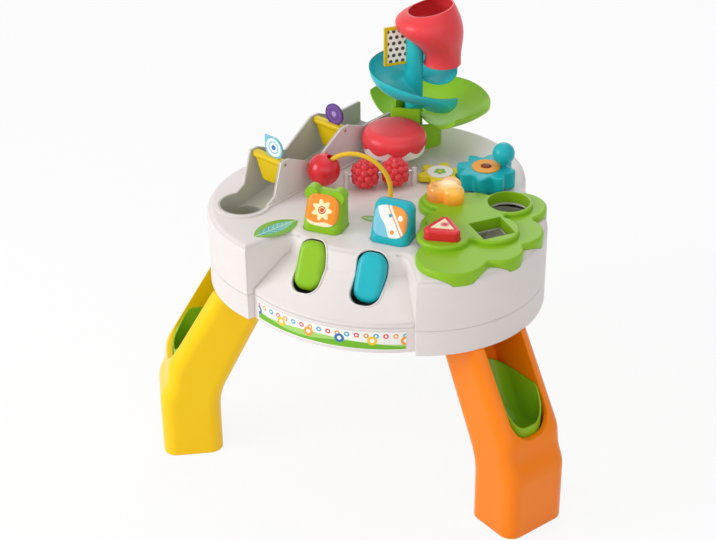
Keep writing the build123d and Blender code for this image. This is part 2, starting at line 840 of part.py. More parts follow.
def make_gate_sign(distance, peak_z, pointed):
    """Thin plate standing on the bar of a gate: a disc, or a leaf with a point."""
    base = peak_z - gate_axle_drop + gate_bar_radius
    with BuildPart() as sign:
        with BuildSketch(facing(well_at, track_angle, base, distance - sign_thickness / 2)):
            with Locations((-sign_side, sign_radius - sign_sink)):
                Circle(sign_radius)
                if pointed:
                    with Locations((sign_radius * 0.5, sign_radius * 0.5)):
                        Rectangle(sign_radius, sign_radius)
            with Locations((0, -sign_radius)):
                Rectangle(4 * track_half, 2 * sign_radius, mode=Mode.SUBTRACT)
        extrude(amount=sign_thickness)
    return sign


for gate_name, (gate_distance, gate_peak) in gate_places.items():
    gate_piece = make_gate(gate_distance, gate_peak)
    save(gate_piece, gate_name)
    gate_sign = make_gate_sign(gate_distance, gate_peak, gate_name == "front_gate")
    save(gate_sign, gate_name + "_sign")
    with BuildPart() as gate_axle:
        with BuildSketch(upright(well_at, track_angle, gate_peak - gate_axle_drop, gate_distance)):
            Circle(gate_axle_radius)
        extrude(amount=fairing_out, both=True)
    save(gate_axle, gate_name + "_axle")

# Tower: column with its skirt, two spiral dishes, funnel and plaque
sleeve_in = tower_post_radius + seat_gap
sleeve_out = sleeve_in + sleeve_wall
tower_side = (tower_at[0] - well_at[0]) * track_side[0] + (tower_at[1] - well_at[1]) * track_side[1]
skirt_side = tower_side + sleeve_out + 2 * seat_gap + wall / 2

with BuildPart() as tower_column:
    with BuildSketch(level(deck_z, tower_at)):
        Circle(tower_flange_radius)
    extrude(amount=tower_flange_height)
    with BuildSketch(level(deck_z)):
        with Locations(along_track(track_rear + 2 + skirt_length / 2, skirt_side)):
            Rectangle(skirt_length, wall, rotation=track_angle)
    extrude(amount=skirt_top_z - deck_z)
    with BuildSketch(level(deck_z, tower_at, funnel_angle)):
        with Locations((fin_length / 2, 0)):
            Rectangle(fin_length, wall)
    extrude(amount=tower_foot_z - deck_z)
    # Curved wall round the front of the column, lower where the green dish passes over it
    for top_z, cleared in ((apse_right_top_z, 0), (apse_left_top_z, 1)):
        with BuildSketch(level(deck_z, tower_at, funnel_angle)):
            Ellipse(apse_half_width, apse_depth)
            Ellipse(apse_half_width - wall, apse_depth - wall, mode=Mode.SUBTRACT)
            with Locations((0, apse_depth)):
                Rectangle(3 * apse_half_width, 2 * apse_depth, mode=Mode.SUBTRACT)
            with Locations((-apse_left - apse_half_width, 0)):
                Rectangle(2 * apse_half_width, 4 * apse_depth, mode=Mode.SUBTRACT)
            if cleared:
                with Locations((apse_half_width + apse_step, 0)):
                    Rectangle(2 * apse_half_width, 4 * apse_depth, mode=Mode.SUBTRACT)
        extrude(amount=top_z - deck_z)
    with BuildSketch(level(deck_z, tower_at)):
        Circle(tower_foot_radius)
    extrude(amount=tower_foot_z - deck_z)
    with BuildSketch(level(tower_foot_z, tower_at)):
        Circle(tower_post_radius)
    extrude(amount=tower_post_z - tower_foot_z)
save(tower_column, "tower_column")


def dish_section(inner, outer, floor, rim):
    """Cut through a spiral dish: a shallow bowl, higher at its outer rim, in the current sketch."""
    low = (inner + outer) / 2
    with BuildLine() as cut:
        top = ThreePointArc((inner, floor + rim / 3), (low, floor), (outer, floor + rim))
        under = ThreePointArc((inner, floor + rim / 3 - dish_wall), (low, floor - dish_wall),
                              (outer, floor + rim - 2 * dish_wall))
        Line(top @ 0, under @ 0)
        Line(top @ 1, under @ 1)
    make_face(cut.edges())


def run_at(run, angle):
    """Floor height, outer radius and rim of a dish at an angle, between its listed places."""
    for before, after in zip(run, run[1:]):
        if angle <= after[0]:
            share = (angle - before[0]) / (after[0] - before[0])
            return [a + (b - a) * share for a, b in zip(before[1:], after[1:])]
    return run[-1][1:]


def dish_body(run):
    """Spiral dish lofted around the tower."""
    with BuildPart() as dish:
        for step in range(dish_steps + 1):
            dish_angle = run[0][0] + (run[-1][0] - run[0][0]) * step / dish_steps
            floor, outer, rim = run_at(run, dish_angle)
            with BuildSketch(upright(tower_at, dish_angle)):
                dish_section(sleeve_out - sleeve_wall / 2, outer, floor, rim)
        loft()
    return dish


def funnel_loft(inset, extra):
    """Funnel body from the outlet up to the tilted mouth; inset gives its inside."""
    a = radians(funnel_angle)
    t = radians(mouth_tilt)
    rings = [(outlet_offset, outlet_radius, outlet_bottom_z - extra),
             (outlet_offset, outlet_radius, outlet_top_z), (bowl_offset, bowl_radius, bowl_z)]
    middle = (tower_at[0] + bowl_offset * cos(a), hub_y + tower_at[1] + bowl_offset * sin(a))
    with BuildPart() as body:
        for away, radius, z in rings:
            at = (tower_at[0] + away * cos(a), tower_at[1] + away * sin(a))
            with BuildSketch(level(z, at, funnel_angle)):
                Circle(radius - inset)
        mouth = Plane((*middle, mouth_z + extra), x_dir=(cos(a) * cos(t), sin(a) * cos(t), sin(t)),
                      z_dir=(-cos(a) * sin(t), -sin(a) * sin(t), cos(t)))
        with BuildSketch(mouth):
            Circle(mouth_radius - inset)
        loft()
    return body


lower_dish = dish_body(lower_dish_run)
upper_dish = dish_body(upper_dish_run)
funnel_room = funnel_loft(-seat_gap, 0)
funnel_outside = funnel_loft(0, 0)
funnel_inside = funnel_loft(funnel_wall, seat_gap)

with BuildPart() as lower_spiral:
    add(lower_dish.part)
    with BuildSketch(level(tower_foot_z, tower_at)):
        Circle(sleeve_out)
    extrude(amount=sleeve_joint_z - tower_foot_z)
    with BuildSketch(level(tower_foot_z, tower_at)):
        Circle(sleeve_in)
    extrude(amount=sleeve_joint_z - tower_foot_z, mode=Mode.SUBTRACT)
    with BuildSketch(level(tower_foot_z)):
        with Locations(along_track(track_rear + 2 + skirt_length / 2, skirt_side)):
            Rectangle(skirt_length + 2 * seat_gap, wall + 2 * seat_gap, rotation=track_angle)
    extrude(amount=skirt_top_z + seat_gap - tower_foot_z, mode=Mode.SUBTRACT)
save(lower_spiral, "lower_spiral")

with BuildPart() as upper_spiral:
    add(upper_dish.part)
    with BuildSketch(level(sleeve_joint_z, tower_at)):
        Circle(sleeve_out)
    extrude(amount=blue_post_top_z - sleeve_joint_z)
    with BuildSketch(level(sleeve_joint_z, tower_at)):
        Circle(sleeve_in)
    extrude(amount=tower_post_z + seat_gap - sleeve_joint_z, mode=Mode.SUBTRACT)
    with BuildSketch(level(plaque_bottom_z, tower_at, plaque_angle)):
        with Locations((sleeve_out, 0)):
            Rectangle(2 * plaque_groove, plaque_thickness + 2 * run_gap)
    extrude(amount=plaque_height, mode=Mode.SUBTRACT)
    add(funnel_room.part, mode=Mode.SUBTRACT)
save(upper_spiral, "upper_spiral")

with BuildPart() as tower_plaque:
    with BuildSketch(level(plaque_bottom_z, tower_at, plaque_angle)):
        with Locations((sleeve_out - plaque_groove + run_gap + plaque_width / 2, 0)):
            Rectangle(plaque_width, plaque_thickness)
    extrude(amount=plaque_height)
    add(funnel_room.part, mode=Mode.SUBTRACT)
save(tower_plaque, "tower_plaque")

with BuildPart() as funnel:
    add(funnel_outside.part)
    add(funnel_inside.part, mode=Mode.SUBTRACT)
    with BuildSketch(level(outlet_bottom_z, tower_at, funnel_angle)):
        with Locations((outlet_offset, outlet_radius)):
            Rectangle(funnel_door_width, 2 * outlet_radius)
    extrude(amount=funnel_door_top_z - outlet_bottom_z, mode=Mode.SUBTRACT)
save(funnel, "funnel")

# Two keys that rock in the apron on one axle
for key_name, side in (("green_key", -1), ("blue_key", 1)):
    with BuildPart() as key:
        with BuildSketch(key_plane(side)):
            RectangleRounded(key_width, key_length, key_corner)
        extrude(amount=-key_depth)
        fillet(key.faces().sort_by(Axis((0, 0, 0), key_plane(side).z_dir))[-1].edges(), key_round)
        axle_end = (side * key_spread, hub_y + key_axle_y, key_axle_z)
        with BuildSketch(Plane(axle_end, x_dir=(0, 1, 0), z_dir=(1, 0, 0))):
            Circle(key_axle_radius + run_gap)
        extrude(amount=key_width, both=True, mode=Mode.SUBTRACT)
    save(key, key_name)

with BuildPart() as key_axle:
    with BuildSketch(Plane((0, hub_y + key_axle_y, key_axle_z), x_dir=(0, 1, 0), z_dir=(1, 0, 0))):
        Circle(key_axle_radius)
    extrude(amount=key_rib_spread + key_rib_thickness / 2, both=True)
save(key_axle, "key_axle")

# Hooded press buttons with their face plates
hood_low_z = deck_under - seat_gap
for hood_name, hood_at in hood_places.items():
    eared = hood_name == "eared_button"
    front = -hood_depth / 2
    top_z = deck_z + hood_height
    hood_side = Plane((hood_at[0], hub_y + hood_at[1], 0), x_dir=(0, 1, 0), z_dir=(1, 0, 0))
    lean = atan2(hood_lean, hood_height - hood_sill)
    middle_z = deck_z + (hood_height + hood_sill) / 2
    face_plane = Plane((hood_at[0], hub_y + hood_at[1] + front + hood_lean / 2, middle_z),
                       x_dir=(1, 0, 0), z_dir=(0, -cos(lean), sin(lean)))
    with BuildPart() as hood:
        with BuildSketch(hood_side):
            outline([(front, hood_low_z), (front, deck_z + hood_sill), (front + hood_lean, top_z),
                     (-front, top_z), (-front, hood_low_z)])
        extrude(amount=hood_width / 2, both=True)
        across = hood.edges().filter_by(Axis.X)
        fillet([e for e in across if e.center().Z > deck_z], hood_crown_round)
        ends = hood.faces().filter_by(Axis.X)
        fillet([e for f in ends for e in f.edges() if e.center().Z > hood_low_z + wall], hood_round)
        if eared:
            ear_y = hub_y + hood_at[1] + hood_depth / 2 - hood_round
            ear_plane = Plane((hood_at[0], ear_y, top_z - ear_radius / 2), x_dir=(1, 0, 0), z_dir=(0, -1, 0))
            with BuildSketch(ear_plane):
                with Locations((-ear_spread, 0), (ear_spread, 0)):
                    Circle(ear_radius)
            extrude(amount=ear_depth)
        with BuildSketch(face_plane.offset(-face_sink)):
            RectangleRounded(face_width + 2 * seat_gap, face_height + 2 * seat_gap, face_corner + seat_gap)
        extrude(amount=hood_round, mode=Mode.SUBTRACT)
        with BuildSketch(level(hood_low_z, hood_at)):
            hood_footprint(hood_flange)
        extrude(amount=-board_thickness)
    save(hood, hood_name)
    with BuildPart() as face:
        with BuildSketch(face_plane.offset(seat_gap / 2 - face_sink)):
            RectangleRounded(face_width, face_height, face_corner)
        extrude(amount=face_sink + face_thickness)
    save(face, hood_name + "_face")

# Circuit board under the buttons with the rubber pads that push them back
board_top_z = deck_z - board_drop
with BuildPart() as circuit_board:
    with BuildSketch(level(board_top_z, board_at)):
        Rectangle(board_width, board_depth)
    extrude(amount=-board_thickness)
save(circuit_board, "circuit_board")

with BuildPart() as return_pads:
    with BuildSketch(level(board_top_z)):
        with Locations(*hood_places.values()):
            Circle(pad_radius)
    extrude(amount=hood_low_z - board_thickness - press_travel - seat_gap - board_top_z)
save(return_pads, "return_pads")

# Mushroom drum: fixed stem, and a rim with a cap that press down
stem_top_z = deck_z + drum_stem_height
rim_low_z = stem_top_z + drum_gap
cap_low_z = rim_low_z + drum_rim_height
with BuildPart() as mushroom_stem:
    with BuildSketch(level(deck_z, drum_at)):
        Circle(drum_stem_radius)
    extrude(amount=drum_stem_height)
    with BuildSketch(level(deck_z, drum_at)):
        Circle(drum_plunger_radius + run_gap)
    extrude(amount=drum_stem_height, mode=Mode.SUBTRACT)
save(mushroom_stem, "mushroom_stem")

with BuildPart() as mushroom_rim:
    with BuildSketch(level(rim_low_z, drum_at)):
        Circle(drum_rim_radius)
    extrude(amount=drum_rim_height - seat_gap, taper=-drum_rim_flare)
    with BuildSketch(level(rim_low_z, drum_at)):
        Circle(drum_plunger_radius + run_gap)
    extrude(amount=drum_rim_height, mode=Mode.SUBTRACT)
save(mushroom_rim, "mushroom_rim")

with BuildPart() as mushroom_cap:
    with BuildSketch(level(cap_low_z, drum_at)):
        Circle(drum_cap_radius)
    extrude(amount=drum_cap_height)
    fillet(mushroom_cap.faces().sort_by(Axis.Z)[-1].edges(), drum_cap_height - wall)
    with BuildSketch(level(cap_low_z, drum_at)):
        Circle(drum_plunger_radius)
    extrude(amount=-(cap_low_z - deck_under))
save(mushroom_cap, "mushroom_cap")

# Wire arch with one large bead
arch_plane = upright(arch_mid, arch_turn, arch_centre_z)
with BuildPart() as bead_arch:
    with BuildLine(arch_plane) as wire:
        Line((-arch_radius, -arch_straight - wall), (-arch_radius, 0))
        ThreePointArc((-arch_radius, 0), (0, arch_radius), (arch_radius, 0))
        Line((arch_radius, 0), (arch_radius, -arch_straight - wall))
    with BuildSketch(level(deck_under, arch_left)):
        Circle(arch_wire)
    sweep(path=wire.wires()[0])
save(bead_arch, "bead_arch")

bead_a = radians(bead_angle)
bead_centre = arch_plane.from_local_coords((arch_radius * cos(bead_a), arch_radius * sin(bead_a), 0))
bead_sag = bead_radius ** 2 / (2 * arch_radius)
bead_inward = arch_plane.x_dir * -cos(bead_a) + arch_plane.y_dir * -sin(bead_a)
with BuildPart() as slide_bead:
    with Locations(Plane(bead_centre, x_dir=bead_inward, z_dir=arch_plane.z_dir)):
        Sphere(bead_radius)
    with BuildSketch(Plane(bead_centre + bead_inward * (bead_sag / 2), x_dir=arch_plane.z_dir,
                           z_dir=bead_inward.cross(arch_plane.z_dir))):
        Circle(arch_wire + bead_sag / 2 + button_gap)
    extrude(amount=bead_radius, both=True, mode=Mode.SUBTRACT)
save(slide_bead, "slide_bead")

# Two berry rollers on one axle between two posts
berry_turn = degrees(atan2(berry_places[1][1] - berry_places[0][1], berry_places[1][0] - berry_places[0][0]))
berry_mid = ((berry_places[0][0] + berry_places[1][0]) / 2, (berry_places[0][1] + berry_places[1][1]) / 2)
berry_apart = hypot(berry_places[1][0] - berry_places[0][0], berry_places[1][1] - berry_places[0][1])
berry_post_out = berry_apart / 2 + berry_radius + berry_post_gap + berry_post_radius
for berry_name, berry_at in zip(("left_berry", "right_berry"), berry_places):
    with BuildPart() as berry:
        with Locations(level(deck_z + berry_axle_height, berry_at)):
            Sphere(berry_radius)
        with BuildSketch(facing(berry_at, berry_turn, deck_z + berry_axle_height)):
            Circle(berry_axle_radius + run_gap)
        extrude(amount=berry_radius, both=True, mode=Mode.SUBTRACT)
        with BuildSketch(facing(berry_mid, berry_turn, deck_z + berry_axle_height)):
            Circle(berry_radius)
        extrude(amount=seat_gap / 2, both=True, mode=Mode.SUBTRACT)
    save(berry, berry_name)

with BuildPart() as berry_axle:
    with BuildSketch(facing(berry_mid, berry_turn, deck_z + berry_axle_height)):
        Circle(berry_axle_radius)
    extrude(amount=berry_post_out + berry_post_radius, both=True)
save(berry_axle, "berry_axle")

with BuildPart() as berry_posts:
    with BuildSketch(level(deck_z, berry_mid, berry_turn)):
        with Locations((-berry_post_out, 0), (berry_post_out, 0)):
            Circle(berry_post_radius)
    extrude(amount=berry_axle_height + berry_axle_radius + 2)
    with BuildSketch(facing(berry_mid, berry_turn, deck_z + berry_axle_height)):
        Circle(berry_axle_radius + run_gap)
    extrude(amount=berry_post_out + 2 * berry_post_radius, both=True, mode=Mode.SUBTRACT)
save(berry_posts, "berry_posts")

# Meshing gears on two posts: a crank wheel with a knob, and a small wheel
with BuildPart() as gear_posts:
    for post_at, post_height in ((crank_at, crank_height), (spin_at, spin_height)):
        with BuildSketch(level(deck_z, post_at)):
            Circle(gear_post_flange)
        extrude(amount=gear_washer)
        with BuildSketch(level(deck_z, post_at)):
            Circle(gear_post_radius)
        extrude(amount=gear_washer + post_height - button_gap)
save(gear_posts, "gear_posts")


def make_gear(at, teeth, tooth_circle, height, start):
    """Toy gear with rounded teeth and a running bore."""
    rim = []
    for k in range(gear_points * teeth):
        a = 2 * pi * k / (gear_points * teeth)
        reach = tooth_circle + gear_tooth_depth * cos(teeth * a)
        rim.append((reach * cos(a), reach * sin(a)))
    with BuildPart() as gear:
        with BuildSketch(level(gear_z, at, start)):
            with BuildLine() as edge:
                Spline(*rim, periodic=True)
            make_face(edge.edges())
        extrude(amount=height)
        fillet(gear.faces().sort_by(Axis.Z)[-1].edges(), gear_edge_round)
        with BuildSketch(level(gear_z, at, start)):
            Circle(gear_post_radius + run_gap)
        extrude(amount=height, mode=Mode.SUBTRACT)
    return gear


crank_gear = make_gear(crank_at, crank_teeth, crank_tooth_circle, crank_height, gear_mesh_angle)
spin_start = gear_mesh_angle - 180 + 180 / spin_teeth
spin_gear = make_gear(spin_at, spin_teeth, spin_tooth_circle, spin_height, spin_start)
save(crank_gear, "crank_gear")
save(spin_gear, "spin_gear")

crank_top_z = gear_z + crank_height
with BuildPart() as crank_ring:
    with BuildSketch(level(crank_top_z, crank_at)):
        Circle(ring_outer)
        Circle(ring_inner, mode=Mode.SUBTRACT)
    extrude(amount=ring_height)
save(crank_ring, "crank_ring")

knob_a = radians(knob_angle)
knob_at = (crank_at[0] + knob_offset * cos(knob_a), crank_at[1] + knob_offset * sin(knob_a))
with BuildPart() as crank_knob:
    with BuildSketch(level(crank_top_z, knob_at)):
        Circle(knob_stem_radius)
    extrude(amount=knob_stem)
    with Locations(level(crank_top_z + knob_stem, knob_at)):
        Sphere(knob_radius)
save(crank_knob, "crank_knob")

with BuildPart() as spin_gear_cap:
    with BuildSketch(level(gear_z + spin_height, spin_at)):
        Circle(spin_tooth_circle - gear_tooth_depth - gear_edge_round - 1)
    extrude(amount=inlay_thickness)
save(spin_gear_cap, "spin_gear_cap")

# Tree panel: two terraces with the sorter holes
with BuildPart() as deck_block:
    with BuildSketch(level(seam_z)) as block_plan:
        shoulder_plan(block_plan, -seat_gap)
    extrude(amount=deck_z - seam_z)
    fillet(deck_block.faces().sort_by(Axis.Z)[-1].edges(), deck_round)

with BuildPart() as tree_panel:
    for lobes, bottom_z, height in ((low_lobes, deck_z - crown_drop, terrace_low + crown_drop),
                                    (high_lobes, deck_z + terrace_low, terrace_high)):
        with BuildSketch(level(bottom_z)):
            for lobe_x, lobe_y, lobe_r in lobes:
                with Locations((lobe_x, lobe_y)):
                    Circle(lobe_r)
            offset(amount=terrace_notch_round, kind=Kind.ARC)
            offset(amount=-terrace_notch_round, kind=Kind.ARC)
        extrude(amount=height)
        fillet(tree_panel.faces().sort_by(Axis.Z)[-1].outer_wire().edges(), terrace_edge_round)
    add(deck_block.part, mode=Mode.SUBTRACT)
    with BuildSketch(level(deck_z)):
        with Locations(round_hole_at):
            Circle(round_hole_radius)
        with Locations(square_hole_at):
            Rectangle(square_hole_side, square_hole_side, rotation=square_hole_turn)
        with Locations(dome_at):
            Circle(lamp_radius + 2 * button_gap)
    extrude(amount=panel_z - deck_z, mode=Mode.SUBTRACT)
    with BuildSketch(level(deck_z, triangle_at)):
        triangle_outline(button_gap)
    extrude(amount=panel_z - deck_z, mode=Mode.SUBTRACT)
save(tree_panel, "tree_panel")

# Triangle button with its inlay
triangle_top_z = panel_z + triangle_height
with BuildPart() as triangle_button:
    with BuildSketch(level(deck_under - seat_gap, triangle_at)):
        triangle_outline(0)
    extrude(amount=triangle_top_z - deck_under + seat_gap)
    fillet(triangle_button.faces().sort_by(Axis.Z)[-1].edges(), wall)
    with BuildSketch(level(deck_under - seat_gap, triangle_at)):
        triangle_outline(hood_flange)
    extrude(amount=-board_thickness)
save(triangle_button, "triangle_button")

with BuildPart() as triangle_inlay:
    with BuildSketch(level(triangle_top_z, triangle_at)):
        triangle_outline(-triangle_corner)
    extrude(amount=inlay_thickness)
save(triangle_inlay, "triangle_inlay")

# Light dome and its lamp
with BuildPart() as light_dome:
    with BuildSketch(level(panel_z, dome_at)):
        clover(dome_lobe, dome_spread)
    extrude(amount=dome_height)
    fillet(light_dome.faces().sort_by(Axis.Z)[-1].edges(), dome_lobe / 2)
    with BuildSketch(level(panel_z, dome_at)):
        Circle(dome_lobe - dome_wall)
    extrude(amount=dome_height - 2 * dome_wall, mode=Mode.SUBTRACT)
save(light_dome, "light_dome")

with BuildPart() as lamp:
    with BuildSketch(level(deck_under - wall, dome_at)):
        Circle(lamp_radius + 2)
    extrude(amount=wall - seat_gap)
    with BuildSketch(level(deck_under - seat_gap, dome_at)):
        Circle(lamp_radius)
    extrude(amount=panel_z + lamp_radius - deck_under)
    with Locations(level(panel_z + lamp_radius - seat_gap, dome_at)):
        Sphere(lamp_radius)
save(lamp, "lamp")

# Hopper that leads the blocks to the right leg
hopper_mid = ((hopper_x[0] + hopper_x[1]) / 2, (hopper_y[0] + hopper_y[1]) / 2)
hopper_size = (hopper_x[1] - hopper_x[0], hopper_y[1] - hopper_y[0])
hopper_top_z = deck_under - hopper_head
hopper_side = Plane((hopper_mid[0], hub_y, 0), x_dir=(0, 1, 0), z_dir=(1, 0, 0))
with BuildPart() as hopper_inside:
    with BuildSketch(level(floor_z, hopper_mid)):
        RectangleRounded(hopper_size[0] - 2 * hopper_wall, hopper_size[1] - 2 * hopper_wall,
                         hopper_corner - hopper_wall)
    extrude(amount=hopper_top_z - floor_z)
    with BuildSketch(hopper_side):
        with BuildLine():
            Polyline((hopper_y[1], hopper_high_z), (hopper_drop_y, hopper_low_z), (hopper_drop_y, floor_z),
                     (hopper_drop_y + hopper_wall, floor_z),
                     (hopper_drop_y + hopper_wall, hopper_low_z - hopper_wall),
                     (hopper_y[1], hopper_high_z - hopper_wall), close=True)
        make_face()
    extrude(amount=hopper_size[0], both=True, mode=Mode.SUBTRACT)

with BuildPart() as sorter_hopper:
    with BuildSketch(level(floor_z, hopper_mid)):
        RectangleRounded(*hopper_size, hopper_corner)
    extrude(amount=hopper_top_z - floor_z)
    add(hopper_inside.part, mode=Mode.SUBTRACT)
save(sorter_hopper, "sorter_hopper")

# Stickers on the deck
def leaf_shape(length, width):
    """Pointed leaf in the current sketch."""
    with BuildLine() as edge:
        ThreePointArc((-length / 2, 0), (0, width / 2), (length / 2, 0))
        ThreePointArc((length / 2, 0), (0, -width / 2), (-length / 2, 0))
    make_face(edge.edges())


with BuildPart() as leaf_sticker:
    with BuildSketch(level(deck_z, leaf_at, leaf_turn)):
        leaf_shape(leaf_length, leaf_width)
    extrude(amount=sticker_thickness)
save(leaf_sticker, "leaf_sticker")

with BuildPart() as sprig_sticker:
    with BuildSketch(level(deck_z, sprig_at)):
        leaf_shape(sprig_length, sprig_length / 2)
    extrude(amount=sticker_thickness)
save(sprig_sticker, "sprig_sticker")
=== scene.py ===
import bmesh
import bpy
from math import cos, hypot, pi, radians, sin
from mathutils import Matrix, Vector
from mathutils.bvhtree import BVHTree


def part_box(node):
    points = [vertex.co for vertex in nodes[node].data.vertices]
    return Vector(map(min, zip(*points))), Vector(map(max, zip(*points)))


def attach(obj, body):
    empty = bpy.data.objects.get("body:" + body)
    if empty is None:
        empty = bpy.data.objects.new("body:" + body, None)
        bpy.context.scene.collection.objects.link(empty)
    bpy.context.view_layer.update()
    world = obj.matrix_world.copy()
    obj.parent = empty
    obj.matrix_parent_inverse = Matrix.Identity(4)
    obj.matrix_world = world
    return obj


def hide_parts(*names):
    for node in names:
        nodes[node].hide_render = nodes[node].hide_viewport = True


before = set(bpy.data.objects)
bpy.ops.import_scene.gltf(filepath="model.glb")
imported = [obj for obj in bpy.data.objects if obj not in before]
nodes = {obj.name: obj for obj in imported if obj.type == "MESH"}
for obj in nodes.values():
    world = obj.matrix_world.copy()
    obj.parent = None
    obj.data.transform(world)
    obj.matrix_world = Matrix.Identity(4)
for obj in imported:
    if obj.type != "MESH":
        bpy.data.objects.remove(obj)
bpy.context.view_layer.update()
hubY = -0.04955  # middle of the three legs, in front of the frame's origin
softEdge = 0.0003  # half the blur of a printed edge, in metres

palette = {
    "shell": "E7DFDC", "track": "C3C1B5", "white": "F4F2EE", "cream": "FBEFC9",
    "yellow": "E2C20A", "archYellow": "EDBF2A", "legYellow": "FFCE00", "spinYellow": "EFDB30",
    "orange": "FF8300", "ringOrange": "F2A02F", "faceOrange": "F4912A", "umber": "7A3A22",
    # dishLime and dishTeal are lighter copies of lime and teal: painted light on the tower, whose
    # dishes and column sit in shade
    "lime": "8CBF1C", "dishLime": "96CC28", "leaf": "7DB53A",
    "teal": "19B2BE", "dishTeal": "2BC2CA", "purple": "6B4596",
    "red": "E0222F", "coral": "ED4449", "berry": "E5313A",
    "steel": "B9BCC0", "board": "1D5B36", "rubber": "5A5B5E", "cell": "26272B"}


def linear(hexColour):  # a written colour as the renderer's linear values
    channels = [int(hexColour[i:i + 2], 16) / 255 for i in (0, 2, 4)]
    return tuple(c / 12.92 if c <= 0.04045 else ((c + 0.055) / 1.055) ** 2.4 for c in channels)


def tone(colour, share):
    return tuple(min(1.0, c * share) for c in colour)


def plug(tree, socket, value):  # links a field or a socket, and sets anything else
    source = value.socket if isinstance(value, Field) else value
    if isinstance(source, bpy.types.NodeSocket):
        tree.links.new(source, socket)
    elif socket.type == "RGBA" and len(source) == 3:
        socket.default_value = (*source, 1)
    else:
        socket.default_value = source


def addNode(tree, kind, settings, values):  # settings first, then the sockets
    made = tree.nodes.new(kind)
    for key, value in settings.items():
        setattr(made, key, value)
    for key, value in values.items():
        plug(tree, made.inputs[key], value)
    return made


class Field:  # a socket whose operators add Math nodes
    def __init__(self, paint, socket):
        self.paint = paint
        self.socket = socket

    def op(self, operation, *others):
        return self.paint.maths(operation, self, *others)

    def __add__(self, other):
        return self.op("ADD", other)

    def __radd__(self, other):
        return self.op("ADD", other)

    def __sub__(self, other):
        return self.op("SUBTRACT", other)

    def __rsub__(self, other):
        return self.paint.maths("SUBTRACT", other, self)

    def __mul__(self, other):
        return self.op("MULTIPLY", other)

    def __rmul__(self, other):
        return self.op("MULTIPLY", other)

    def __truediv__(self, other):
        return self.op("DIVIDE", other)

    def absolute(self):
        return self.op("ABSOLUTE")

    def most(self, other):
        return self.op("MAXIMUM", other)

    def reach(self, other):  # distance from zero, with the other as the second direction
        return (self * self + other * other).op("SQRT")

    def below(self, edge, soft=softEdge):  # 1 under the edge, 0 over it
        return self.paint.fade(self, edge + soft, edge - soft)

    def above(self, edge, soft=softEdge):
        return self.paint.fade(self, edge - soft, edge + soft)

    def between(self, low, high):
        return self.above(low) * self.below(high)


class Paint:  # one procedural material, with x, y, z on the object in metres
    def __init__(self, name):
        self.material = bpy.data.materials.new(name)
        self.material.use_nodes = True
        self.tree = self.material.node_tree
        self.shader = self.tree.nodes["Principled BSDF"]
        self.spot = self.node("ShaderNodeTexCoord", {}, {}, "Object")
        split = addNode(self.tree, "ShaderNodeSeparateXYZ", {}, {0: self.spot})
        self.x, self.y, self.z = (Field(self, socket) for socket in split.outputs)

    def node(self, kind, settings, values, out=0):
        return Field(self, addNode(self.tree, kind, settings, values).outputs[out])

    def maths(self, operation, *values):
        return self.node("ShaderNodeMath", {"operation": operation}, dict(enumerate(values)))

    def noise(self, scale, detail=2.0, rough=0.5):
        values = {"Vector": self.spot, "Scale": scale, "Detail": detail, "Roughness": rough}
        return self.node("ShaderNodeTexNoise", {}, values)

    def fade(self, value, low, high):
        settings = {"interpolation_type": "SMOOTHSTEP"}
        return self.node("ShaderNodeMapRange", settings, {0: value, 1: low, 2: high})

    def mix(self, share, first, second):  # 6 and 7 are the node's colour sockets, 2 its colour
        settings = {"data_type": "RGBA"}
        return self.node("ShaderNodeMix", settings, {0: share, 6: first, 7: second}, 2)

    def set(self, **values):
        for key, value in values.items():
            plug(self.tree, self.shader.inputs[key.replace("_", " ")], value)


finishes = {  # grain is a noise scale, height and soften (the edge's radius) are in metres
    "satin": {"rough": 0.38, "spread": 0.10, "coat": 0.0,
              "grain": 1400.0, "height": 0.00006, "soften": 0.0012},
    "matt": {"rough": 0.52, "spread": 0.10, "coat": 0.0,
             "grain": 1700.0, "height": 0.00010, "soften": 0.0010},
    "gloss": {"rough": 0.22, "spread": 0.08, "coat": 0.40,
              "grain": 700.0, "height": 0.00003, "soften": 0.0014},
    "sheen": {"rough": 0.31, "spread": 0.08, "coat": 0.10,
              "grain": 1100.0, "height": 0.00004, "soften": 0.0014},
    "film": {"rough": 0.32, "spread": 0.06, "coat": 0.10,
             "grain": 500.0, "height": 0.00002, "soften": 0.0002},
}
moulding = {"cloud": 14.0, "smear": 95.0, "darkTone": 0.955, "lightTone": 1.04, "smearFrom": 0.62,
            "smearBlur": 0.10, "smearShare": 0.12, "smearTone": 0.90, "bump": 0.5, "specular": 0.22,
            "coatRough": 0.25, "bevelSamples": 4}


def moulded(name, colourName, finishName="satin", pattern=None, soften=None):
    finish = finishes[finishName]
    colour = linear(palette[colourName])
    paint = Paint(name)
    cloud = paint.noise(moulding["cloud"], detail=3.0)  # slow change of tone over a moulding
    grain = paint.noise(finish["grain"], rough=0.6)
    smear = paint.noise(moulding["smear"], detail=4.0, rough=0.6)  # marks of handling
    marked = smear.above(moulding["smearFrom"], moulding["smearBlur"]) * moulding["smearShare"]
    base = paint.mix(cloud, tone(colour, moulding["darkTone"]), tone(colour, moulding["lightTone"]))
    base = paint.mix(marked, base, tone(colour, moulding["smearTone"]))
    if pattern:
        base = pattern(paint, base)
    rough = finish["rough"] + (cloud - 0.5) * finish["spread"] + (smear - 0.5) * finish["spread"]
    corner = paint.node("ShaderNodeBevel", {"samples": moulding["bevelSamples"]},
                        {"Radius": soften or finish["soften"]})
    bump = paint.node("ShaderNodeBump", {}, {
        "Strength": moulding["bump"], "Distance": 1.0, "Normal": corner,
        "Height": grain * finish["height"] + smear * finish["height"]})
    paint.set(Base_Color=base, Roughness=rough, Normal=bump, Coat_Weight=finish["coat"],
              Specular_IOR_Level=moulding["specular"], Coat_Roughness=moulding["coatRough"])
    return paint.material


brightWire = {"brush": 600.0, "darkTone": 0.85, "lightTone": 1.05, "rough": 0.25, "spread": 0.2}


